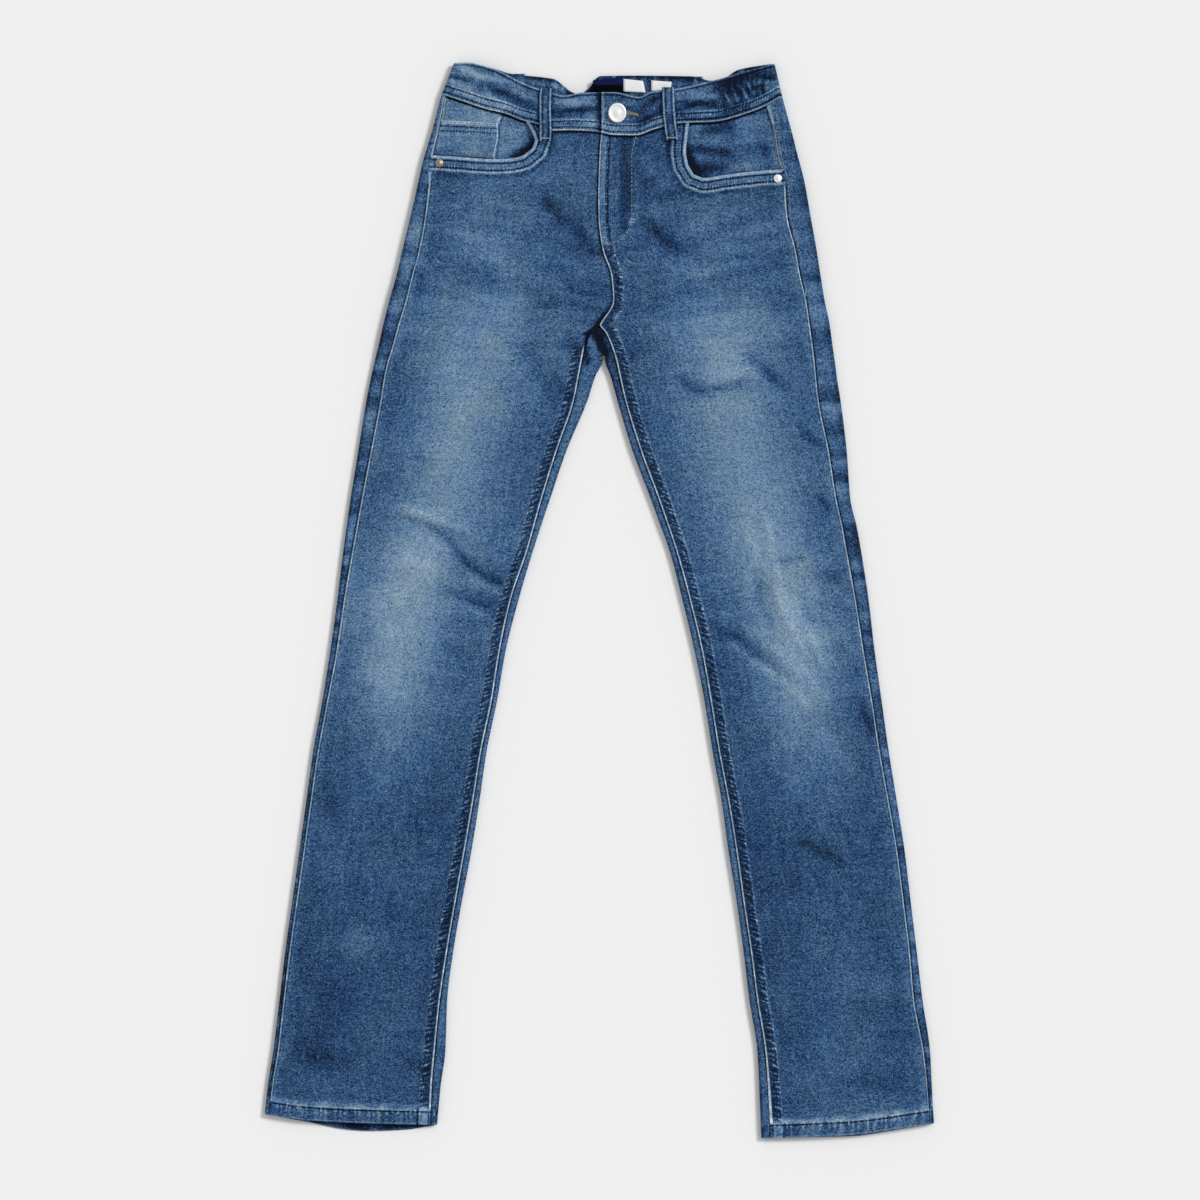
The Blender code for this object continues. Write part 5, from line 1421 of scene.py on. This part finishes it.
def spin(name, profile, segments, centre, paint, squash=1.0):
    """A turned piece from radius, height rows that start and end on the axis."""
    points, faces, rings = [], [], []
    for radius, height in profile:
        rings.append(len(points))
        for i in range(segments):
            angle = 2 * math.pi * i / segments
            points.append((centre[0] + radius * math.cos(angle) * squash,
                           centre[1] + radius * math.sin(angle), centre[2] + height))
    for low, high in zip(rings, rings[1:]):
        for i in range(segments):
            j = (i + 1) % segments
            faces.append((low + i, low + j, high + j, high + i))
    faces.append(tuple(rings[0] + i for i in reversed(range(segments))))
    faces.append(tuple(rings[-1] + i for i in range(segments)))
    return add_mesh(name, points, faces, paint)


def stitch_rows(name, rows, height, paint, long=2.7, gap=0.8, radius=0.26):
    """Thread: a short rounded stitch every few millimetres along each row."""
    points, faces = [], []
    ring = [(math.cos(a), math.sin(a)) for a in np.linspace(0, 2 * math.pi, 7)[:-1]]
    for row in rows:
        line = np.array(row)
        run = np.concatenate([[0], np.cumsum(np.hypot(*np.diff(line, axis=0).T))])
        at = 0.3
        while at + long < run[-1]:
            ends = [np.array([np.interp(s, run, line[:, 0]), np.interp(s, run, line[:, 1])])
                    for s in (at, at + long)]
            at += long + gap
            way = ends[1] - ends[0]
            way = way / max(1e-6, float(np.hypot(*way)))
            side = np.array([-way[1], way[0]])
            tops = [height(*end) for end in ends]
            if min(tops) <= 0 or abs(tops[0] - tops[1]) > 1.6:
                continue
            start = len(points)
            for t, thick, sink in ((0, 0.35, -0.12), (0.18, 0.9, 0.08), (0.82, 0.9, 0.08),
                                   (1, 0.35, -0.12)):
                place = ends[0] + (ends[1] - ends[0]) * t
                z = tops[0] + (tops[1] - tops[0]) * t + sink
                for c, s in ring:
                    points.append((place[0] + side[0] * c * radius * thick,
                                   place[1] + side[1] * c * radius * thick,
                                   z + s * radius * thick))
            for k in range(3):
                for i in range(6):
                    j = (i + 1) % 6
                    a = start + k * 6
                    faces.append((a + i, a + j, a + 6 + j, a + 6 + i))
            faces.append(tuple(start + i for i in reversed(range(6))))
            faces.append(tuple(start + 18 + i for i in range(6)))
    if points:
        add_mesh(name, points, faces, paint)


def inset(points, away):
    """A line moved sideways; positive goes to the right of its direction."""
    out = []
    for i, p in enumerate(points):
        a, b = points[max(0, i - 1)], points[min(len(points) - 1, i + 1)]
        length = math.hypot(b[0] - a[0], b[1] - a[1])
        out.append((p[0] + (b[1] - a[1]) / length * away, p[1] - (b[0] - a[0]) / length * away))
    return out


def lift(side, x, y):
    """The pocket mouth standing a little off its facing."""
    cx, cy, wide, high = LIFTS[side]
    return high * bell(np.hypot(x - cx, y - cy), wide)


def label_shell(node, outline, paint):
    """A bare woven label."""
    points, faces = [], []
    base = SEAT_LIFT + BAND_WALL + GATHER + SEAM_GAP
    count = 8
    for i in range(count + 1):
        for k in range(count + 1):
            s, t = i / count, k / count
            low = [outline[0][c] + (outline[1][c] - outline[0][c]) * s for c in (0, 1)]
            high = [outline[3][c] + (outline[2][c] - outline[3][c]) * s for c in (0, 1)]
            points.append((low[0] + (high[0] - low[0]) * t, low[1] + (high[1] - low[1]) * t,
                           base + LABEL_WALL))
    for i in range(count):
        for k in range(count):
            a = i * (count + 1) + k
            faces.append((a, a + count + 1, a + count + 2, a + 1))
    obj = add_mesh("shell_" + node, points, faces, paint)
    thicken(obj, 0.5)
    return stand_for(obj, node)


fronts = {side: front_shell(side) for side in SIDES}
backs = {side: back_shell(side) for side in SIDES}
for side in SIDES:
    yoke_shell(side)
facings = {side: facing_shell(side) for side in SIDES}
band = waistband_shell()
coin = coin_shell()
for side in SIDES:
    back_pocket_shell(side)
over_band = surface([fronts["left"], fronts["right"], band])
loops = [loop_shell("loop_front_" + side, upper_end, lower_end, width, over_band)
         for side, (upper_end, lower_end, width) in FRONT_LOOPS.items()]
for name, x in BACK_LOOPS.items():
    y = float(back_waist(x))
    loops.append(loop_shell("loop_back_" + name, (x, y + 36), (x, y - 10), 10.4, None, 0))

# Metal
button_z = over_band(*BUTTON, 6) + SEAM_GAP
button = spin("metal_button", BUTTON_PROFILE, 72, (*BUTTON, button_z), "button", 0.92)
stand_for(button, "button")
for side, (x, y) in RIVETS.items():
    paint = "rivet" if side == "left" else "button"
    z = over_band(x, y, 2) + SEAM_GAP
    rivet = spin("metal_rivet_" + side, RIVET_PROFILE, 40, (x, y, z), paint)
    stand_for(rivet, "rivet_" + side)

# Labels
for node, (colour, corners) in LABELS.items():
    label_shell(node, corners, colour)
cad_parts["fly_facing"].data.materials.clear()
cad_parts["fly_facing"].data.materials.append(PAINT["denim"])

# Thread
cloth_top = surface([fronts["left"], fronts["right"], backs["left"], backs["right"], band, coin,
                     facings["left"], facings["right"], loops[0], loops[1]])
blue, pale, tan = [], [], []
for side, (_, sign) in SIDES.items():
    ys = np.arange(-430.0, 232.0, 3.0)
    for away in (2, 8.2):
        blue.append([(float(inner_edge(side, y)) + sign * away, y) for y in ys])
    blue += [inset(SCOOP_LINE[side], sign * 3.4), inset(SCOOP_LINE[side], sign * 10.6)]
    xs = np.linspace(side_seam[side](-430.0), inner_edge(side, -430.0), 40)
    blue.append([(x, float(hem_front[side](x)) + 11.6) for x in xs])
    start = 0 if side == "left" else 2.6
    xs = np.linspace(start, -133.0 if side == "left" else 154.0, 60)
    for rise in (1.6, 8.4):
        blue.append([(x, float(waist_seam(x)) + rise) for x in xs])
    blue.append([(x, float(band_top_front(x)) - 1.8) for x in xs if abs(x) < 122.0])
ys = np.arange(246.0, 404.0, 3.0)
for away in (1.6, 6.6):
    blue.append([(float(centre_front(y)) + away, y) for y in ys])
blue.append([(x, y - 1.4) for x, y in spline(COIN_EDGE[:3], 6)])
pale.append([(x - 0.4, y) for x, y in spline(FLY_CURVE, 5)])
pale.append([(float(side_seam["right"](y)) + 3.0, y) for y in np.arange(292.0, 402.0, 3.0)])
stitch_rows("thread_seams", blue, cloth_top, "thread")
stitch_rows("thread_fly", pale, cloth_top, "thread_pale", radius=0.2)
for s in (-1, 1):
    for i in range(14):
        t = i / 13
        a = np.array((22.5, 423.4 + s * 0.9)) * (1 - t) + np.array((33.0, 421.4 + s * 0.5)) * t
        tan.append([(a[0], a[1] - 0.9), (a[0] + 0.25, a[1] + 0.9)])
stitch_rows("thread_buttonhole", tan, cloth_top, "thread_tan", long=1.3, radius=0.24)
bars = []
for x, y, turn, wide in ((28.6, 330.5, 0, 5), (62.2, 401.6, 0, 8), (-47.8, 401, 0, 8),
                         (179, 267.8, 1.4, 6), (3.6, 315, 0, 4)):
    for i in range(int(wide / 0.5)):
        s = i * 0.5 - wide / 2
        cx, cy = x + s * math.cos(turn), y + s * math.sin(turn)
        bars.append([(cx + math.sin(turn) * 0.8, cy - math.cos(turn) * 0.8),
                     (cx - math.sin(turn) * 0.8, cy + math.cos(turn) * 0.8)])
stitch_rows("thread_bars", bars, cloth_top, "thread_pale", long=1.1, radius=0.22)

# Floor
FLOOR_REACH_M, FLOOR_DROP_M = 6, 0.0004
floor_mesh = bpy.data.meshes.new("floor")
floor_corners = [(x * FLOOR_REACH_M, y * FLOOR_REACH_M, -FLOOR_DROP_M)
                 for x, y in ((-1, -1), (1, -1), (1, 1), (-1, 1))]
floor_mesh.from_pydata(floor_corners, [], [(0, 1, 2, 3)])
floor_paint = plain_material("floor_pale", (0.866, 0.864, 0.865), 1, 0, 0)
floor_paint.node_tree.nodes["Principled BSDF"].inputs["Specular IOR Level"].default_value = 0
floor_mesh.materials.append(floor_paint)
add_object("floor", floor_mesh)


def lay(name):
    """Read a piece's width, length and area laid out flat; they are not used."""
    width, length, area = cuts[name]
    area = min(area, width * length)


for side in SIDES:
    lay("shell_pocket_back_" + side)
    lay("shell_back_" + side)
    lay("shell_yoke_" + side)
    lay("shell_facing_" + side)
    lay("shell_front_" + side)
lay("shell_coin_pocket")
lay("shell_waistband")

# Light and camera
world = bpy.data.worlds.new("studio")
world.use_nodes = True
background = world.node_tree.nodes["Background"]
background.inputs["Color"].default_value = (1, 1, 1, 1)
background.inputs["Strength"].default_value = WORLD_STRENGTH
scene.world = world
sun_data = bpy.data.lights.new("key", "SUN")
sun_data.energy = SUN_STRENGTH
sun_data.angle = math.radians(SUN_WIDTH_DEGREES)
sun = add_object("key", sun_data)
sun.rotation_mode = "QUATERNION"
sun.rotation_quaternion = Vector(SUN_FROM).to_track_quat("Z", "Y")

camera_data = bpy.data.cameras.new("camera")
camera_data.lens = LENS_MM
camera_data.sensor_width = SENSOR_MM
camera = add_object("camera", camera_data)
camera.location = (0, 0, FRAME_WIDTH * MM * LENS_MM / SENSOR_MM)
scene.camera = camera
view = scene.view_settings
view.view_transform, view.look, view.exposure, view.gamma = "Standard", "None", 0, 1
